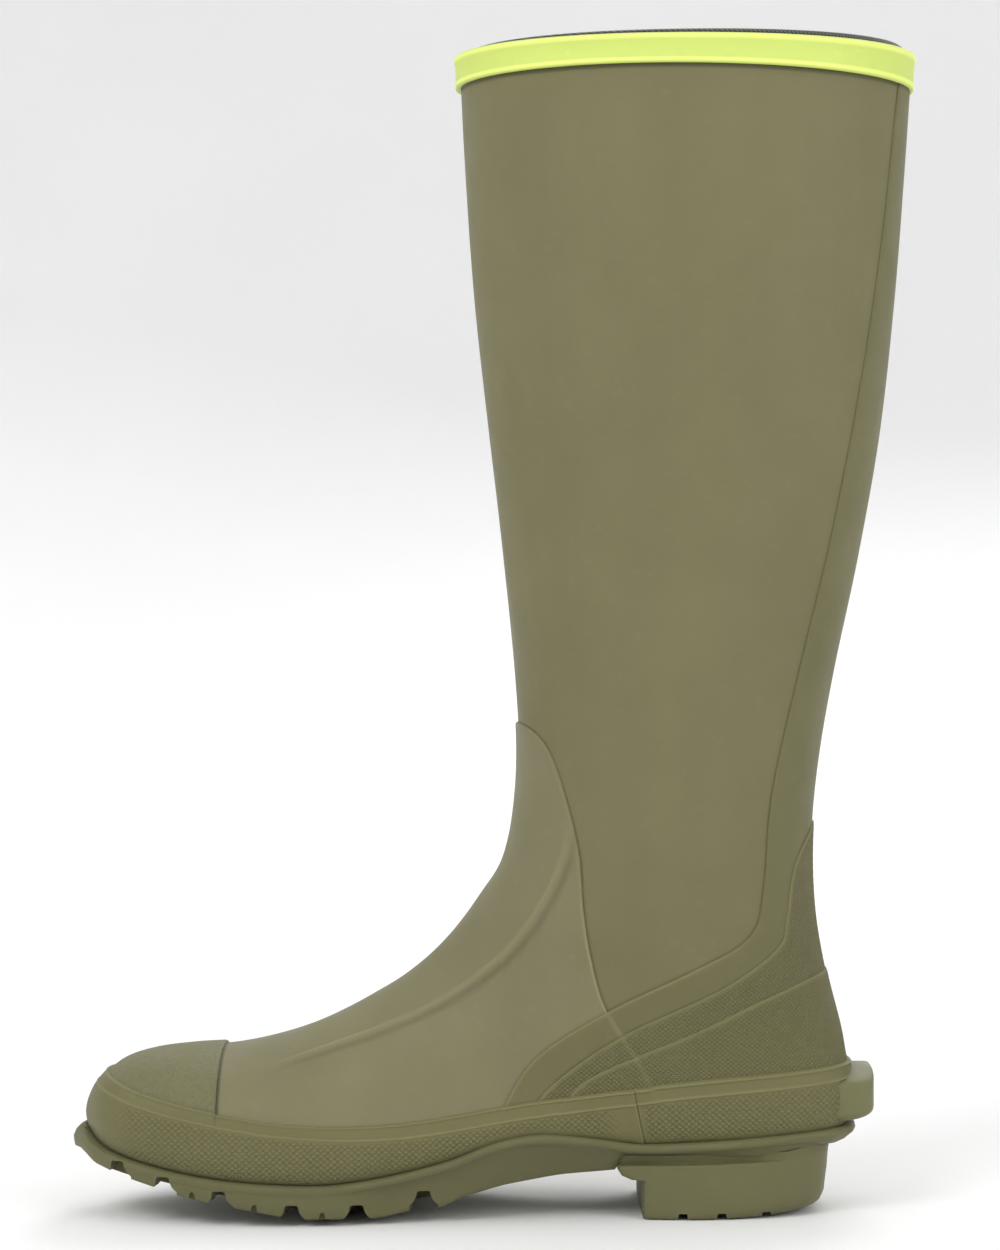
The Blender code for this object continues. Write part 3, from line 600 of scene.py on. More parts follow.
# ---- the upper
def leg():
    net = Net(0.02, TOE_END, 3.4, 0.0)
    for field in (in_vamp, in_strip):
        net.cut(field, -2.2, -1.5, -0.8, 0.0)
    net.cut(below_band, *BAND_CUTS)
    p, n = net.p, net.n
    # painted shade beside the vamp's and strip's edges and under the lime band, carried as the crease mark
    seam = np.maximum(near(in_vamp(p, n) + 0.25, 1.25), near(in_strip(p, n) + 0.25, 1.25))
    shadow = np.maximum(seam * seam_shadow_strength(p), near(below_band(p, n) + 0.4, 1.3))
    return sheet("leg", net, leg_height(p, n), 0 * net.u + LEG_RUBBER, crease=shadow)


def vamp():
    keeps = (in_vamp, not_past(in_toe_cap, LAP), not_past(under_foxing_top, LAP))
    net = Net(5.0, TOE_END, 2.4, VAMP, keeps)
    net.edge_cuts(in_vamp)
    net.cut(past_ridge, -4.6, -3.4, -2.2, -1.0, 0.2, 1.4, 2.6)
    for field in (in_strip, in_toe_cap):
        net.cut(field, -1.5, -0.8, 0.0)
    p, n = net.p, net.n
    under = leg_height(p, n) + LEAST_GAP
    d, ridge = in_vamp(p, n), past_ridge(p, n)
    top = under + VAMP * rounded(d) + ridge_height(p, n)
    # painted shade beside the strip's and toe cap's edges and under the ridge, carried as the crease mark
    painted_shade_lines = (0.5 * near(in_strip(p, n) + 0.25), 1.2 * near(in_toe_cap(p, n) + 0.25, 1.3),
             0.45 * near(ridge - 1.8, 1.8) * ridge_ends(p))
    # painted highlight along the vamp's lower edge and on top of the ridge, carried as the edge mark
    painted_highlight = near(d, 1.3) * rise((150.0 - p[:, 2]) / 50.0)
    painted_highlight = np.maximum(painted_highlight, 0.6 * near(ridge + 2.0, 2.4) * ridge_ends(p))
    return sheet("vamp_sheet", net, top, under, edge=painted_highlight, crease=np.max(painted_shade_lines, axis=0))


def toe_cap():
    net = Net(15.5, TOE_END, 1.8, VAMP + TOE_CAP, (in_toe_cap, not_past(under_foxing_top, LAP)))
    net.edge_cuts(in_toe_cap)
    p, n = net.p, net.n
    d = in_toe_cap(p, n)
    under = LEAST_GAP + VAMP * (1 - rise((d - LAP) / 1.5))
    top = VAMP + TOE_CAP * rounded(d)
    return sheet("toe_cap_sheet", net, top, under)


def back_strip():
    keeps = (in_strip, line_z(BAND_LOW + LAP, -1), not_past(under_foxing_top, LAP))
    net = Net(0.05, 19.0, 2.4, STRIP, keeps)
    net.edge_cuts(in_strip)
    net.cut(in_vamp, -1.4, 0.0, 1.4)
    net.cut(in_counter, -1.2, -0.5, 0.0)
    net.cut(below_band, *BAND_CUTS)
    p, n = net.p, net.n
    under = stack(p, n, 1) + LEAST_GAP
    d = in_strip(p, n)
    # painted highlight along the strip's lower edge and where the vamp's edge shows through; painted shade
    # beside the counter's edge and under the lime band
    painted_highlight = near(d, 1.4) * rise((120.0 - p[:, 2]) / 30.0)
    shadow = np.maximum(seam_shadow_strength(p) * near(in_counter(p, n) + 0.3), near(below_band(p, n) + 0.4, 1.3))
    return sheet("back_strip_sheet", net, under + STRIP * rounded(d), under,
                 edge=np.maximum(painted_highlight, 0.6 * near(in_vamp(p, n), 1.4)), crease=shadow)


def counter(name, layer, beyond):
    """One textured layer of the heel counter; beyond is the field of the next one over it."""
    inside, thick, _ = LAYERS[layer]
    keeps = [inside, not_past(under_foxing_top, LAP)]
    if beyond:
        keeps.append(not_past(beyond, LAP))
    net = Net(6.5, 17.0, 0.66, 2.0, keeps)
    net.edge_cuts(inside)
    p, n = net.p, net.n
    under = stack(p, n, layer) + LEAST_GAP
    d = inside(p, n)
    relief = ramp(d, 0.8, 1.2)
    top = under + thick * rounded(d) + 0.25 * (diamonds(p, *COUNTER_WEAVE) - 0.5) * relief
    # painted highlight along the counter's edge and where the vamp's edge shows through, carried as the edge
    # mark
    painted_highlight = 0.6 * np.maximum(near(d, 1.1), near(in_vamp(p, n), 1.4))
    return sheet(name, net, top, under, 62.0, edge=painted_highlight, relief=relief, along=run_along(p))


def foxing(name, half):
    """Band above the rim; half is the field that keeps one side of the seam."""
    keeps = (half, under_foxing_top, lambda p, n: over_rim(p, n) + 1.5)
    net = Net(8.5, TOE_END, 0.72, FOXING, keeps)
    net.cut(under_foxing_top, 0.12, 0.4, 0.9, 1.3, 1.8, 4.9, 5.35, 5.8, 6.25, 6.8)
    net.edge_cuts(half)
    p, n = net.p, net.n
    d, low, end = under_foxing_top(p, n), over_rim(p, n), half(p, n)
    below = stack(p, n, len(LAYERS))
    under = below - 0.25
    least = below + FOXING_LEAST
    top = least + (np.maximum(FOXING, least) - least) * rise(d / 9.0)
    round_top = rounded(d, 0.9, 0.3)
    beads = sum(BEAD_HIGH * bell((d - line) / BEAD_HALF) for line in BEAD_LINES)
    beads = beads * (1 - 0.65 * rise((-136.0 - p[:, 0]) / 14.0))
    plain_front = ramp(p[:, 0], -151.0, 14.0)
    plain_seam = ramp(d, 6.6, 1.0) * ramp(low, 1.0, 2.0) * ramp(end, 1.0, 2.0)
    if name == "toe_foxing_sheet":
        plain_seam = plain_seam * ramp(end, 6.0, 10.0)
        top = top + 0.55 * rise(1 - end / 6.0)
    relief = plain_front * plain_seam
    height = under + (top - under) * round_top * rounded(end, 0.8, 0.6) + beads
    height = height + 0.2 * (diamonds(p, *FOXING_WEAVE) - 0.5) * relief
    # painted highlight on the two beads and the seam's end; painted shade along the foxing's foot above the
    # rim, carried as the crease mark
    painted_highlight = np.maximum(near(d - BEAD_LINES[0], 0.8), near(d - BEAD_LINES[1], 0.75))
    return sheet(name, net, height, under, 62.0,
                 edge=np.maximum(painted_highlight, 0.6 * near(end, 1.0)), relief=relief, along=run_along(p),
                 crease=0.5 * near(low, 2.2))


def band_station(z, theta):
    """Station at height z of the leg's top."""
    return (base_point(0 * theta, theta)[..., 2] - z) / STATION_RUN


def top_band():
    """Lime band round the top, a closed hoop with soft edge beads."""
    turns = round_turns(180)
    side, rear = np.abs(np.sin(turns)), (1 - np.cos(turns)) / 2
    low = band_edge(side ** 2, rear)
    high = BAND_HIGH + 0.3 * rear
    across = ((0.0, 0.02), (1.5, 0.0), (2.05, 0.03), (2.35, 0.09), (2.3, 0.15), (1.95, 0.22),
              (1.9, 0.5), (1.95, 0.78), (2.3, 0.86), (2.35, 0.93), (2.0, 0.985), (1.4, 1.0),
              (0.4, 1.0), (-0.6, 0.98), (-0.6, 0.5))
    # painted highlight on the band's outermost beads, carried as the edge mark
    painted_highlight = [1.0 if out > 2.2 else 0.0 for out, _ in across]
    rings = []
    for out, share in across:
        z = low + (high - low) * share
        rings.append(surface(band_station(z, turns), turns, out + 0 * turns))
    return loft("top_band_hoop", rings, 50.0, closed=True, edge=painted_highlight)


def sock(name, profile, count, smooth=50.0):
    """Sock shaped sheet; profile runs up its outside, over its top and down its inside."""
    turns = round_turns(count)
    return loft(name, [surface(u + 0 * turns, turns, out + 0 * turns) for u, out in profile], smooth)


def insulation():
    rows = row_stations(0.07, TOE_END, 9.0)
    inner, outer = INSULATION
    return sock("insulation_sock", [(u, outer) for u in rows[::-1]] + [(u, inner) for u in rows], 72)


def lining():
    """Knitted lining, its top edge rolled outward over the insulation."""
    rows = row_stations(0.16, TOE_END, 6.0)
    inner, outer = LINING
    roll = ((-6.6, -5.0), (-6.2, -2.6), (-5.2, -1.3), (-3.8, -1.2), (-2.3, -1.7), (-1.9, -0.9),
            (-2.0, 0.3), (-2.7, 1.3), (-3.9, 2.0), (-5.2, 2.1), (-6.4, 1.5), (-7.1, 0.4), (-7.4, -1.5),
            (-7.4, -4.0))
    count = 128
    lean = 1.7 * np.cos(round_turns(count))
    profile = [(u, outer) for u in rows[::-1]]
    profile += [((lean - up) / STATION_RUN, out) for out, up in roll]
    profile += [(u, inner) for u in rows]
    return sock("lining_sock", profile, count)


def seam_tape():
    """Flat tape over the lining's back seam."""
    low, high = node_box("lining_seam_tape")
    half = (high[1] - low[1]) / 2
    middle = (high[1] + low[1]) / 2
    keeps = (lambda p, n: half - np.abs(p[:, 1] - middle), line_x(70.0), line_z(low[2]),
             line_z(high[2], -1))
    net = Net(0.1, 9.0, 3.5, TAPE, keeps)
    net.edge_cuts(keeps[0], 1.0)
    inner = LINING[0] - 0.02 - 0.6 * rounded(keeps[0](net.p, net.n), 1.0)
    return sheet("seam_tape", net, 0 * net.u + LINING[0] - 0.02, inner, 50.0)


# ---- plan rings
def contour(offset, height):
    """Plan line where an offset of the boot passes a height: its arch side and its far side."""
    us, thetas = np.linspace(10.2, LAST, 320), np.linspace(math.pi, 0.25, 90)
    sides = []
    for sign in (1, -1):
        points = surface(us[:, None], sign * thetas[None, :], offset)
        line = []
        for row, over in zip(points, points[..., 2] - height(points[..., 0])):
            rising = np.nonzero((over[:-1] < 0) & (over[1:] >= 0))[0]
            if len(rising):
                j = rising[0]
                f = over[j] / (over[j] - over[j + 1])
                line.append(row[j] * (1 - f) + row[j + 1] * f)
        sides.append(np.array(line)[:, :2])
    return sides


class Plan:
    """Plan outline that can be grown, narrowed at the waist and tucked in at the back."""

    def __init__(self, sides, half):
        """sides run from toe to heel; a ring gets half steps along each of them."""
        self.split = len(sides[0])
        self.half = half
        self.loop = np.vstack([sides[0], sides[1][::-1]])
        along = np.roll(self.loop, -3, axis=0) - np.roll(self.loop, 3, axis=0)
        normal = np.stack([-along[:, 1], along[:, 0]], 1)
        normal /= np.maximum(np.linalg.norm(normal, axis=1), 1e-9)[:, None]
        self.normal = normal * np.sign(np.sum(normal * (self.loop - self.loop.mean(axis=0))))

    def ring(self, offset, waist=0.0, tuck=0.0, lip=0.0):
        """x stations from toe to heel, and y on the arch side and on the far side."""
        x, back = self.loop[:, 0], self.normal[:, 0]
        grow = offset(x) if callable(offset) else offset
        grow = grow - waist * np.exp(-((x - WAIST_X) / WAIST_REACH) ** 2)
        grow = grow + lip * np.maximum(-back, 0.0) ** 3 - tuck * np.maximum(back, 0.0) ** 2
        moved = self.loop + self.normal * grow[:, None]
        low, high = moved[:, 0].min(), moved[:, 0].max()
        turns = np.pi * np.arange(self.half + 1) / self.half
        xs = (low + high) / 2 - (high - low) / 2 * np.cos(turns)
        ys = []
        for part in (moved[:self.split], moved[self.split:]):
            part = part[np.argsort(part[:, 0])]
            ys.append(np.interp(xs, part[:, 0], part[:, 1]))
        for end in (0, -1):
            ys[0][end] = ys[1][end] = (ys[0][end] + ys[1][end]) / 2
        return xs, ys[0], ys[1]


def cap(points, faces, start, ring, height, across):
    """Closes the ring whose points begin at start, with rows of points across it."""
    xs, arch, far = ring[:3]
    half = len(xs) - 1
    share = np.arange(1, across) / across
    rows = [[start] * (across + 1)]
    for i in range(1, half):
        rows.append([start + i, *range(len(points), len(points) + across - 1), start + 2 * half - i])
        y = arch[i] + (far[i] - arch[i]) * share
        points += zip(xs[i] + 0 * share, y, height(xs[i], np.abs(2 * share - 1)))
    rows.append([start + half] * (across + 1))
    for a, b in zip(rows, rows[1:]):
        faces += [tuple(dict.fromkeys((a[k], b[k], b[k + 1], a[k + 1]))) for k in range(across)]


def plan_loft(name, levels, top, bottom, across=12, smooth=40.0):
    """Solid through levels of (xs, arch ys, far ys, zs), closed at the heights top and bottom.

    These give z at x and edge, which is 1 at the sides and 0 in the middle.
    """
    count = 2 * (len(levels[0][0]) - 1)
    points, faces = [], walls(len(levels), count)
    for xs, arch, far, z in levels:
        points += [*zip(xs, arch, z), *zip(xs[-2:0:-1], far[-2:0:-1], z[-2:0:-1])]
    cap(points, faces, 0, levels[0], top, across)
    cap(points, faces, (len(levels) - 1) * count, levels[-1], bottom, across)
    return make_object(name, points, faces, smooth)


# ---- sole
SOLE_PLAN = Plan(contour(FOXING, lambda x: height_on(RIM_LINE, x)), 110)
HEEL_SEAT = node_box("heel_block")[1][2] + 0.3


def behind_ball(x):
    """0 in the forefoot, 1 behind it, where the rim stands clear of the slanted side."""
    return ramp(x, -60.0, 22.0)


def rim_top(x):
    """Line where the rim meets the foxing; round the toe it runs level."""
    return height_on(RIM_LINE, np.maximum(x, -161.0)) + 1.3 * rise((-150.0 - x) / 12.0)


def rim_high(x):
    """Height of the rim, which is deeper round the toe and the heel."""
    toe, heel = rise((-148.0 - x) / 14.0), ramp(x, 118.0, 24.0)
    return RIM_HIGH + (TOE_RIM_HIGH - RIM_HIGH) * toe + (REAR_RIM_HIGH - RIM_HIGH) * heel


def tread_height(x):
    """Underside of the sole at its middle."""
    line = np.array(SOLE_BOTTOM)
    return np.where(x > line[-1][0] + 0.6, HEEL_SEAT, np.interp(x, line[:, 0], line[:, 1]))


def tread_edge(x):
    """Underside of the sole at its edge, raised in the forefoot."""
    return tread_height(x) + CROWN * (1 - ramp(x, -50.0, 30.0))


def sole_ring(fore, aft, waist, tuck, lip):
    """Ring grown by fore in the forefoot and by aft behind the ball."""
    def grow(x):
        return fore + (aft - fore) * behind_ball(x) + REAR_BULGE * ramp(x, 128.0, 12.0)
    return SOLE_PLAN.ring(grow, waist, tuck, lip)


def sole_levels():
    """Rings down the sole's side: the rounded rim, then the tread wall or the slanted waist."""
    # share of the height, then growth in the forefoot and behind the ball
    rim = ((0.0, -0.4, -0.4), (0.04, 1.4, 1.4), (0.14, 2.3, 2.3), (0.32, 2.9, 2.9),
           (0.6, 2.9, 2.9), (0.82, 2.7, 2.3), (0.95, 2.5, 1.3), (1.0, 2.4, 0.1))
    wall = ((0.12, 2.3, -0.8), (0.5, 1.9, -1.8), (0.85, 1.5, -2.5), (0.96, 0.9, -2.8), (1.0, 0.0, -3.4))
    levels = []
    for share, fore, aft in rim:
        tuck = REAR_TUCK * max(0.0, (share - 0.3) / 0.7)
        ring = sole_ring(fore, aft, 0.0, tuck, TOE_LIP * min(1.0, share / 0.55) ** 0.6)
        levels.append((*ring, rim_top(ring[0]) - share * rim_high(ring[0])))
    for share, fore, aft in wall:
        ring = sole_ring(fore, aft, WAIST_DEEP * share, REAR_TUCK, TOE_LIP)
        high = rim_top(ring[0]) - rim_high(ring[0])
        low = np.minimum(tread_edge(ring[0]), high - 0.2)
        levels.append((*ring, high + (low - high) * share))
    return levels


def groove(path, half_width, deep, mouth=0.8):
    """Cutter along a plan path under the sole, with a flared and rounded mouth."""
    path = np.array(path)
    along = np.gradient(path, axis=0)
    along /= np.linalg.norm(along, axis=1)[:, None]
    side = ((mouth + 1.0, -30.0), (mouth + 1.0, deep - 5.7), (mouth, deep - 5.0),
            (0.45 * mouth, deep - 3.8), (0.1, deep - 2.2), (-0.2, deep - 0.6), (-0.8, deep))
    shape = [(-half_width - w, z) for w, z in side] + [(half_width + w, z) for w, z in side[::-1]]
    rings = [[(x - ay * w, y + ax * w, tread_height(x) + z) for w, z in shape]
             for (x, y), (ax, ay) in zip(path, along)]
    return loft("groove", rings)


def joined(objects):
    """One object from several that don't touch."""
    with bpy.context.temp_override(active_object=objects[0], object=objects[0],
                                   selected_editable_objects=objects):
        bpy.ops.object.join()
    return objects[0]


def outsole():
    """Sole with its rim, cut by cross grooves, nicks in its edge, wavy channels and bars."""
    def top(x, edge):
        return rim_top(x) - 0.6 - 3.0 * (1 - edge)

    def bottom(x, edge):
        return tread_height(x) + (tread_edge(x) - tread_height(x)) * edge ** 3

    def middle(x):
        return np.interp(x, xs, (arch + far) / 2)

    def channel(x):
        return CHANNEL_SHARE * np.interp(x, xs, (far - arch) / 2)

    xs, arch, far = SOLE_PLAN.ring(2.0, lip=TOE_LIP)
    cross, channels, bars = [], [], []
    for x in LUG_GROOVES:
        for sign in (-1, 1):
            path = [(x - 0.07 * (y - 40.0), middle(x) + sign * y) for y in np.linspace(70.0, 13.0, 9)]
            cross.append(groove(path, 2.8, TREAD_DEEP + CROWN, 1.8))
    for x in SIDE_NICKS:
        for edge, sign in ((arch, -1), (far, 1)):
            path = [(x, np.interp(x, xs, edge) + sign * y) for y in (9.0, 0.0, -3.6)]
            cross.append(groove(path, 1.1, 3.0 + CROWN, 1.5))
    run = np.linspace(-141.0, -38.0, 52)
    for sign in (-1, 1):
        path_y = middle(run) + sign * (channel(run) + 1.6 * np.sin(run * 2 * math.pi / 24.0))
        channels.append(groove(list(zip(run, path_y)), 1.9, TREAD_DEEP))
    for x in np.add(LUG_GROOVES[:-1], LUG_GROOVES[1:]) / 2:
        path = [(x + 4.0 * abs(t) - 2.0, middle(x) + channel(x) * t) for t in np.linspace(-1, 1, 9)]
        bars.append(groove(path, 1.8, TREAD_DEEP))
    sole = plan_loft("outsole_tread", sole_levels(), top, bottom)
    for tools in (cross, channels, bars):
        sole = combine(sole, joined(tools))
    return sole


def heel_ring(z, grow, forward):
    """Plan of the heel block at height z: straight breast, round back."""
    def spread(x):
        at_back = ramp(x, 104.0, 20.0) if z > HEEL_TOP - 0.2 else 0.0
        return grow + (0.3 - grow) * at_back
    xs, arch, far = SOLE_PLAN.ring(spread, 3.0)
    xs = xs + forward
    front_x, front_z = np.array(HEEL_BREAST).T
    front = np.interp(-z, -front_z, front_x)
    start = front + HEEL_CORNER
    share = np.sin(np.linspace(0, math.pi / 2, 44))
    near_y, far_y = (np.interp(start + (xs[-1] - start) * share, xs, side) for side in (arch, far))
    rounding = HEEL_ROCKER[0] * max(0.0, 1 - z / HEEL_ROCKER[1]) ** 3
    run = start + (xs[-1] - start - rounding) * share
    bevel = 0.3 * HEEL_CORNER
    x = [front, front + bevel, *run, *run[-2::-1], front + bevel, front]
    y = [near_y[0] + HEEL_CORNER, near_y[0] + bevel, *near_y,
         *far_y[-2::-1], far_y[0] - bevel, far_y[0] - HEEL_CORNER]
    return np.stack([x, y, np.full(len(x), z)], 1)


def heel_block():
    # height, then growth over the sole's plan
    heights = ((HEEL_SEAT + 0.4, -2.6), (HEEL_TOP + 0.8, -3.0), (HEEL_TOP + 0.1, -2.4),
               (HEEL_TOP, -0.4), (HEEL_TOP - 0.4, 0.3), (HEEL_TOP - 1.1, 0.5), (19.4, 0.35),
               (17.8, 0.2), (16.9, 0.15), (16.0, 0.1), (15.5, 0.05), (15.1, 0.0), (12.0, -0.1),
               (7.0, -0.2), (5.0, -0.3), (3.4, -0.4), (2.2, -0.5), (1.3, -0.7), (0.6, -1.1),
               (0.2, -1.8), (0.0, -2.6))
    slot = ((-2.6, -6.0), (-2.6, 0.0), (-1.9, 0.7), (-1.6, 2.5), (1.6, 2.5), (1.9, 0.7), (2.6, 0.0),
            (2.6, -6.0))
    rings = []
    for z, grow in heights:
        ring = heel_ring(z, grow, -7.0 - 2.4 * (HEEL_SEAT - z) / HEEL_SEAT)
        lift = 1.2 * ramp(ring[:, 0], 60.0, 50.0) + 3.2 * ramp(ring[:, 0], 112.0, 18.0)
        ring[:, 2] += lift * ramp(z, 15.0, 5.0)
        rings.append(ring)
    slots = [loft("slot", [[(x + w, y, z) for w, z in slot] for y in (-70.0, 70.0)]) for x in HEEL_SLOTS]
    return combine(loft("heel_tread", rings, 35.0), joined(slots), 35.0)


def kick_lug():
    """Ledge behind the heel, with a domed top and soft corners."""
    low, high = node_box("kick_lug")
    half, middle = (high[1] - low[1]) / 2 + 2.0, (high[1] + low[1]) / 2
    # share of the height, then how far in from the sides
    levels = ((0.0, 2.0), (0.04, 1.0), (0.10, 0.3), (0.2, 0.0), (0.90, 0.0), (0.95, 0.15), (0.985, 0.6),
              (0.999, 1.4), (1.0, 3.0), (1.0, 8.0), (1.0, 14.0))
    turns = np.linspace(-math.pi / 2, math.pi / 2, 41)
    c, s = np.cos(turns), np.sin(turns)
    reach = (np.abs(c) ** 5 + np.abs(s) ** 5) ** (-1 / 5)
    rings = []
    for share, inset in levels:
        x = high[0] - inset - 14.0 * (1 - reach * c)
        y = middle + (half - inset) * reach * s
        x, y = np.array([low[0], *x, low[0]]), np.array([y[0], *y, y[-1]])
        top = high[2] - 5.5 * ((y - middle) / half) ** 2
        under = low[2] + 1.9 * ramp(x, 138.0, 12.0) + 2.0 * ramp(x, 157.0, 9.0)
        rings.append(np.stack([x, y, under + share * (top - under)], 1))
    return loft("kick_lug_block", rings, 40.0)


# ---- footbed
def floor_height(x, above):
    """Height above the underside of the leg rubber, level behind the heel seat."""
    under = spline(TABLE, np.linspace(12.0, LAST, 60))[:, 2:4]
    return np.interp(x, under[::-1, 0], under[::-1, 1]) + above


def footbed_layer(name, low, high, soft):
    """One layer of the loose footbed; soft is how much its edge is rounded."""
    def level(x, up):
        return floor_height(x, FOOTBED_UNDER + up)

    plan = Plan(contour(-FOOTBED_SIDE, lambda x: level(x, high)), 70)
    # share of the height, then how far in from the edge
    edge = ((1.0, 2.2), (0.97, 1.2), (0.8, 0.4), (0.55, 0.2), (0.3, 0.35), (0.08, 1.0), (0.0, 1.8))
    rings = [(share, plan.ring(-0.3 - inset * soft)) for share, inset in edge]
    levels = [(*ring, level(ring[0], low + share * (high - low))) for share, ring in rings]
    under = FOOTBED_DISH if low else 0.0
    return plan_loft(name, levels, lambda x, side: level(x, high) - FOOTBED_DISH * (1 - side ** 2),
                     lambda x, side: level(x, low) - under * (1 - side ** 2), 10, 45.0)


# ---- materials
def srgb(*levels):
    """Linear colour from display levels of 0 to 255."""
    shares = [v / 255 for v in levels]
    return tuple(v / 12.92 if v <= 0.04045 else ((v + 0.055) / 1.055) ** 2.4 for v in shares)


class Look:
    """A node material with a Principled shader, built up in steps."""

    def __init__(self, name, rough, sheen=0.0, specular=0.35, metallic=0.0):
        self.material = bpy.data.materials.new(name)
        self.material.use_nodes = True
        self.tree = self.material.node_tree
        self.shader = self.tree.nodes["Principled BSDF"]
        for socket, value in (("Roughness", rough), ("Metallic", metallic), ("Sheen Weight", sheen),
                              ("Sheen Roughness", 0.45), ("Specular IOR Level", specular)):
            self.shader.inputs[socket].default_value = value
        self.place = self.node("TexCoord").outputs["Object"]
        self.normal = None

    def put(self, socket, value):
        """Links a socket, or sets it where the value is a plain one."""
        if isinstance(value, bpy.types.NodeSocket):
            self.tree.links.new(value, socket)
        else:
            socket.default_value = value

    def node(self, kind, inputs=None, **settings):
        """A new node; inputs are given by their socket's name or number."""
        node = self.tree.nodes.new("ShaderNode" + kind)
        for name, value in settings.items():
            setattr(node, name, value)
        for socket, value in (inputs or {}).items():
            self.put(node.inputs[socket], value)
        return node

    def stretched(self, x, y, z):
        return self.node("Mapping", {"Vector": self.place, "Scale": (x, y, z)}).outputs["Vector"]

    def noise(self, scale, detail=3.0, rough=0.55, place=None):
        inputs = {"Vector": place or self.place, "Scale": scale, "Detail": detail, "Roughness": rough}
        return self.node("TexNoise", inputs).outputs["Fac"]

    def cells(self, scale):
        return self.node("TexVoronoi", {"Vector": self.place, "Scale": scale}).outputs["Distance"]

    def mark(self, name):
        return self.node("Attribute", attribute_name=name).outputs["Fac"]

    def maths(self, operation, a, b=0.0):
        return self.node("Math", {0: a, 1: b}, operation=operation).outputs[0]

    def spread(self, value, low, high, to_low=0.0, to_high=1.0):
        names = ("Value", "From Min", "From Max", "To Min", "To Max")
        return self.node("MapRange", dict(zip(names, (value, low, high, to_low, to_high)))).outputs[0]

    def mix(self, share, a, b):
        """Colour between a and b; sockets 6, 7 and output 2 are the mix node's colours."""
        a, b = ((*c, 1.0) if isinstance(c, tuple) else c for c in (a, b))
        return self.node("Mix", {0: share, 6: a, 7: b}, data_type="RGBA").outputs[2]

    def bump(self, height, depth, strength=1.0):
        """Adds a relief of the given depth in metres; several are laid over each other."""
        inputs = {"Strength": strength, "Distance": depth, "Height": height}
        if self.normal is not None:
            inputs["Normal"] = self.normal
        self.normal = self.node("Bump", inputs).outputs["Normal"]
        self.put(self.shader.inputs["Normal"], self.normal)

    def finish(self, colour, rough):
        """Links the colour and the roughness, and gives the material."""
        self.put(self.shader.inputs["Base Color"], colour)
        self.put(self.shader.inputs["Roughness"], rough)
        return self.material


def shade(colour, by):
    return tuple(min(1.0, c * by) for c in colour)


def weave(look, wide, high):
    """The relief's diamonds as a node value: -0.5 in the grooves, 0.5 on the points."""
    up = look.node("SeparateXYZ", {0: look.place}).outputs[2]
    lift = look.maths("MULTIPLY", up, math.pi / MM / high)
    along = look.maths("MULTIPLY", look.mark("along"), math.pi / wide)
    waves = [look.maths("SINE", look.maths(way, along, lift)) for way in ("ADD", "SUBTRACT")]
    points = look.maths("SQRT", look.maths("ABSOLUTE", look.maths("MULTIPLY", *waves)))
    return look.maths("MULTIPLY", look.maths("SUBTRACT", points, 0.5), look.mark("relief"))


def rubber(name, base, rough=0.58, mottle=0.07, relief=None, streaks=True, pebbles=False):
    """Matte rubber: blotchy bloom, faint drawn streaks, painted highlight on raised edges and beads (on the
    edges partly also rubbed wear) and painted shade beside seams and steps.
    """
    look = Look(name, rough, 0.04, 0.28)
    blotch = look.spread(look.noise(14.0, 4.0, 0.6), 0.30, 0.70)
    colour = look.mix(blotch, shade(base, 1 - mottle), shade(base, 1 + mottle))
    if streaks:
        drawn = look.spread(look.noise(26.0, 3.0, 0.5, look.stretched(1.0, 1.0, 0.12)), 0.35, 0.75)
        colour = look.mix(look.maths("MULTIPLY", drawn, 0.5), colour, shade(base, 1 - 2.2 * mottle))
    bloom = look.spread(look.noise(190.0, 2.0, 0.5), 0.62, 0.80)
    colour = look.mix(look.maths("MULTIPLY", bloom, 0.16), colour, shade(base, 1.35))
    look.bump(look.noise(34.0, 3.0, 0.5), 0.00035, 0.55)
    look.bump(look.noise(1400.0, 2.0, 0.6), 0.00006, 0.7)
    if relief:
        points = weave(look, *relief)
        # painted shade in the relief's grooves and painted highlight on its points
        colour = look.mix(look.spread(points, -0.5, 0.0, 0.62, 0.0), colour, shade(base, 0.62))
        colour = look.mix(look.spread(points, 0.15, 0.5, 0.0, 0.45), colour, shade(base, 1.25))
        look.bump(points, 0.0005, 0.8)
    if pebbles:
        cells = look.cells(1100.0)
        colour = look.mix(look.spread(cells, 0.25, 0.6, 0.0, 0.5), colour, shade(base, 0.72))
        look.bump(cells, 0.00025, 0.8)
    # painted shade: the crease mark darkens beside seams, steps and under the band, where shade falls
    colour = look.mix(look.maths("MULTIPLY", look.mark("crease"), 0.85), colour, shade(base, 0.35))
    # painted highlight: the edge mark lightens raised edges, beads and the vamp's ridge, on the edges partly
    # also rubbed wear
    colour = look.mix(look.maths("MULTIPLY", look.mark("edge"), 0.5), colour, shade(base, 1.7))
    return look.finish(colour, look.spread(look.noise(60.0), 0.3, 0.7, rough - 0.07, rough + 0.09))


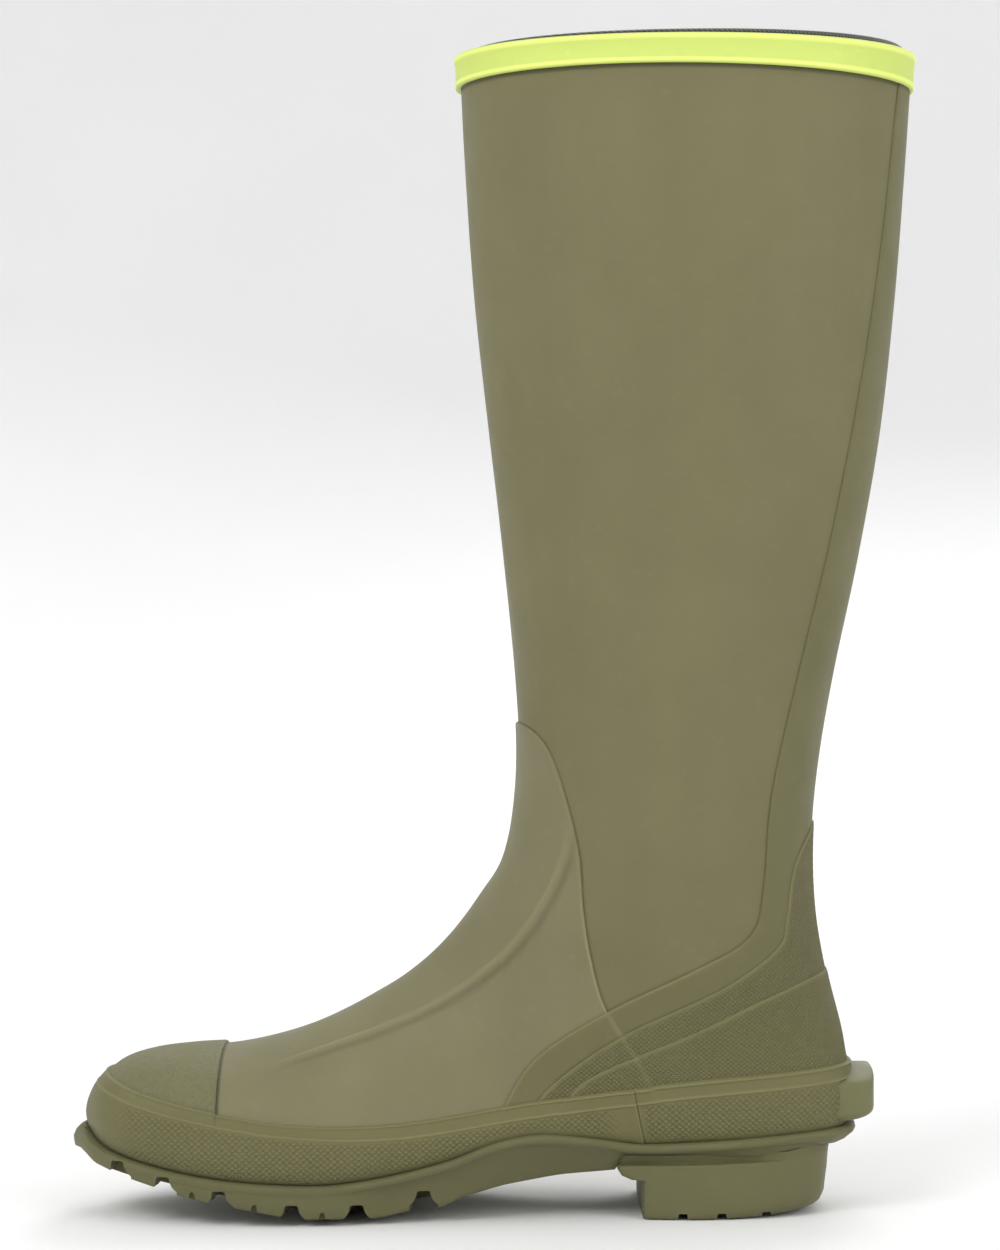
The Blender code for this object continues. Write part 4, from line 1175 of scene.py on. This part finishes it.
def woven(name, base, pitch, rough=0.92, depth=0.0004):
    """Knitted or woven cloth: two crossed waves of thread with fuzz over them."""
    look = Look(name, rough, 0.35, 0.15)
    threads = []
    for stretch in ((1.0, 1.0, 0.0), (0.0, 0.0, 1.0)):
        inputs = {"Vector": look.stretched(*stretch), "Scale": 0.5 / pitch, "Distortion": 0.6, "Detail": 1.0}
        threads.append(look.node("TexWave", inputs, bands_direction="DIAGONAL").outputs["Fac"])
    cloth = look.maths("MULTIPLY", *threads)
    fuzz = look.noise(900.0)
    colour = look.mix(cloth, shade(base, 0.6), shade(base, 1.25))
    colour = look.mix(look.maths("MULTIPLY", fuzz, 0.4), colour, shade(base, 1.6))
    colour = look.mix(look.spread(look.noise(22.0), 0.35, 0.7, 0.0, 0.3), colour, shade(base, 0.7))
    look.bump(cloth, depth, 0.9)
    look.bump(fuzz, depth * 0.5, 0.6)
    return look.finish(colour, look.spread(fuzz, 0.3, 0.7, rough - 0.08, min(1.0, rough + 0.06)))


def foam(name, base):
    """Closed cell foam with visible cells."""
    look = Look(name, 0.9, 0.1, 0.2)
    cells = look.cells(900.0)
    colour = look.mix(look.spread(cells, 0.0, 0.6), shade(base, 1.4), shade(base, 0.7))
    colour = look.mix(look.spread(look.noise(40.0), 0.4, 0.7, 0.0, 0.4), colour, shade(base, 0.8))
    look.bump(cells, 0.0003, 0.8)
    return look.finish(colour, look.spread(cells, 0.0, 0.6, 0.82, 0.97))


def board(name, base, scale):
    """Pressed fibre, cork or rubberised canvas: flecks and long fibres."""
    look = Look(name, 0.88, 0.05, 0.2)
    fleck = look.noise(scale, 5.0, 0.7)
    fibre = look.noise(scale * 1.5, 3.0, 0.6, look.stretched(0.15, 1.0, 1.0))
    colour = look.mix(look.spread(fleck, 0.3, 0.7), shade(base, 0.65), shade(base, 1.3))
    colour = look.mix(look.maths("MULTIPLY", fibre, 0.4), colour, shade(base, 1.5))
    look.bump(fleck, 0.0003, 0.7)
    return look.finish(colour, look.spread(fleck, 0.3, 0.7, 0.8, 0.96))


def sheet_steel(name):
    """Blued spring steel with drawn marks."""
    look = Look(name, 0.35, 0.0, 0.5, 1.0)
    drawn = look.noise(400.0, 3.0, 0.6, look.stretched(0.03, 1.0, 1.0))
    look.bump(drawn, 0.00005, 0.5)
    colour = look.mix(drawn, (0.30, 0.32, 0.36), (0.52, 0.53, 0.55))
    return look.finish(colour, look.spread(drawn, 0.3, 0.7, 0.25, 0.45))


LOOKS = {
    "olive_rubber": rubber("leg_look", srgb(110, 106, 74)),
    "vamp_rubber": rubber("vamp_look", srgb(117, 113, 83)),
    "strip_rubber": rubber("strip_look", srgb(103, 100, 67)),
    "counter_rubber": rubber("counter_look", srgb(101, 98, 65), 0.66, 0.05, COUNTER_WEAVE, False),
    "toe_cap_rubber": rubber("toe_cap_look", srgb(113, 111, 79), 0.66, 0.05, None, False, True),
    "foxing_rubber": rubber("foxing_look", srgb(104, 101, 67), 0.64, 0.05, FOXING_WEAVE, False),
    "lime_rubber": rubber("lime_look", srgb(196, 213, 108), 0.5, 0.02, None, False),
    "kick_lug_rubber": rubber("kick_lug_look", srgb(106, 106, 72), 0.55, 0.05, None, False),
    "sole_rubber": rubber("sole_look", srgb(99, 97, 65), 0.6, 0.06, None, False),
    "lining_fabric": woven("lining_look", srgb(62, 64, 56), 0.0016),
    "tape_fabric": woven("tape_look", srgb(78, 78, 70), 0.0011),
    "insulation_foam": foam("insulation_look", srgb(86, 86, 84)),
    "footbed_foam": foam("footbed_foam_look", srgb(64, 64, 62)),
    "filler_cork": board("cork_look", srgb(160, 128, 90), 260.0),
    "fibreboard": board("fibreboard_look", srgb(170, 148, 118), 420.0),
    "rubberised_canvas": board("canvas_look", srgb(120, 112, 84), 700.0),
    "steel": sheet_steel("shank_look"),
}
FOOTBED_CLOTH = woven("footbed_cloth_look", srgb(70, 74, 64), 0.0013)

# body: its pieces, each with the CAD node it stands for and its material slot of the record
PIECES = {
    "boot": (
        (leg, "shaft_rubber", "olive_rubber"),
        (vamp, "vamp", "vamp_rubber"),
        (toe_cap, "toe_cap", "toe_cap_rubber"),
        (back_strip, "back_strip", "strip_rubber"),
        (partial(counter, "counter_upper_sheet", 2, in_lower_counter), "heel_counter_upper",
         "counter_rubber"),
        (partial(counter, "counter_lower_sheet", 3, None), "heel_counter_lower", "counter_rubber"),
        (partial(foxing, "toe_foxing_sheet", toe_side_of_seam), "toe_foxing", "foxing_rubber"),
        (partial(foxing, "heel_foxing_sheet", not_past(toe_side_of_seam, 0.0)), "heel_foxing",
         "foxing_rubber"),
        (top_band, "top_band", "lime_rubber"),
        (kick_lug, "kick_lug", "kick_lug_rubber"),
        (outsole, "outsole", "sole_rubber"),
        (heel_block, "heel_block", "sole_rubber"),
        (insulation, "insulation", "insulation_foam"),
        (lining, "lining", "lining_fabric"),
        (seam_tape, "lining_seam_tape", "tape_fabric"),
    ),
    "footbed": (
        (partial(footbed_layer, "footbed_foam_pad", 0.0, FOAM_THICK, 1.0), "footbed_foam",
         "footbed_foam"),
        (partial(footbed_layer, "footbed_cover_cloth", FOAM_THICK + FOOTBED_GAP,
                 FOAM_THICK + FOOTBED_GAP + COVER_THICK, 0.5), "footbed_cover", "lining_fabric"),
    ),
}
# inner CAD nodes that stay, and their material slots
KEPT_NODES = {
    "heel_core": "filler_cork",
    "forefoot_filler": "filler_cork",
    "steel_shank": "steel",
    "lasting_board": "fibreboard",
    "ankle_reinforcement": "rubberised_canvas",
    "heel_stiffener": "rubberised_canvas",
    "toe_puff": "rubberised_canvas",
}


def paint(obj, material):
    obj.data.materials.clear()
    obj.data.materials.append(material)


def build():
    for body, pieces in PIECES.items():
        for make, node, slot in pieces:
            piece = make()
            paint(piece, FOOTBED_CLOTH if node == "footbed_cover" else LOOKS[slot])
            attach(piece, body)
            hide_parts(node)
    for node, slot in KEPT_NODES.items():
        paint(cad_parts[node], LOOKS[slot])


# ---- studio
def backdrop():
    """Pale round floor that curves up into a wall far behind the camera's places."""
    flat, bend, wall, count = 1.5, 2.5, 5.0, 96
    profile = [(0.6, 0.0), (flat, 0.0)]
    profile += [(flat + bend * math.sin(a), bend * (1 - math.cos(a)))
                for a in np.linspace(0.06, math.pi / 2, 26)]
    profile.append((flat + bend, wall))
    turns = round_turns(count)
    points = [(r * math.cos(a), r * math.sin(a), z - 0.0001) for r, z in profile for a in turns]
    faces = [tuple(range(count))] + [face[::-1] for face in walls(len(profile), count)]
    mesh = bpy.data.meshes.new("backdrop")
    mesh.from_pydata(points, [], faces)
    mesh.shade_smooth()
    obj = add_object("backdrop", mesh)
    look = Look("backdrop_look", 0.9, 0.0, 0.1)
    tone = look.spread(look.noise(1.2), 0.3, 0.7)
    paint(obj, look.finish(look.mix(tone, (0.86, 0.86, 0.86), (0.90, 0.90, 0.90)), 0.9))


def area_light(name, place, target, size, power):
    data = bpy.data.lights.new(name, "AREA")
    data.shape = "DISK"
    data.size = size
    data.energy = power
    obj = add_object(name, data)
    obj.location = place
    obj.rotation_euler = (Vector(target) - Vector(place)).to_track_quat("-Z", "Y").to_euler()


def studio():
    world = bpy.data.worlds.new("studio")
    world.use_nodes = True
    background = world.node_tree.nodes["Background"]
    background.inputs["Color"].default_value = (1.0, 1.0, 1.0, 1.0)
    background.inputs["Strength"].default_value = 0.9
    bpy.context.scene.world = world
    centre = (0.0, 0.0, 0.22)
    area_light("key", (-1.3, -1.7, 1.9), centre, 1.3, 26.0)
    area_light("fill", (1.7, -1.5, 1.2), centre, 1.5, 14.0)
    area_light("back", (0.6, 2.0, 1.7), centre, 1.4, 20.0)
    bpy.context.scene.view_settings.view_transform = "Standard"


def camera():
    """Level camera at the arch side, square to the boot."""
    away, high, right = 1.3, 0.231, 0.0022
    frame_height = 0.4975         # height of the picture at the boot's middle plane
    data = bpy.data.cameras.new("camera")
    data.sensor_width = 36.0
    data.lens = data.sensor_width * away / frame_height
    obj = add_object("camera", data)
    obj.location = (right, -away, high)
    obj.rotation_euler = (math.pi / 2, 0.0, 0.0)
    bpy.context.scene.camera = obj


build()
backdrop()
studio()
camera()
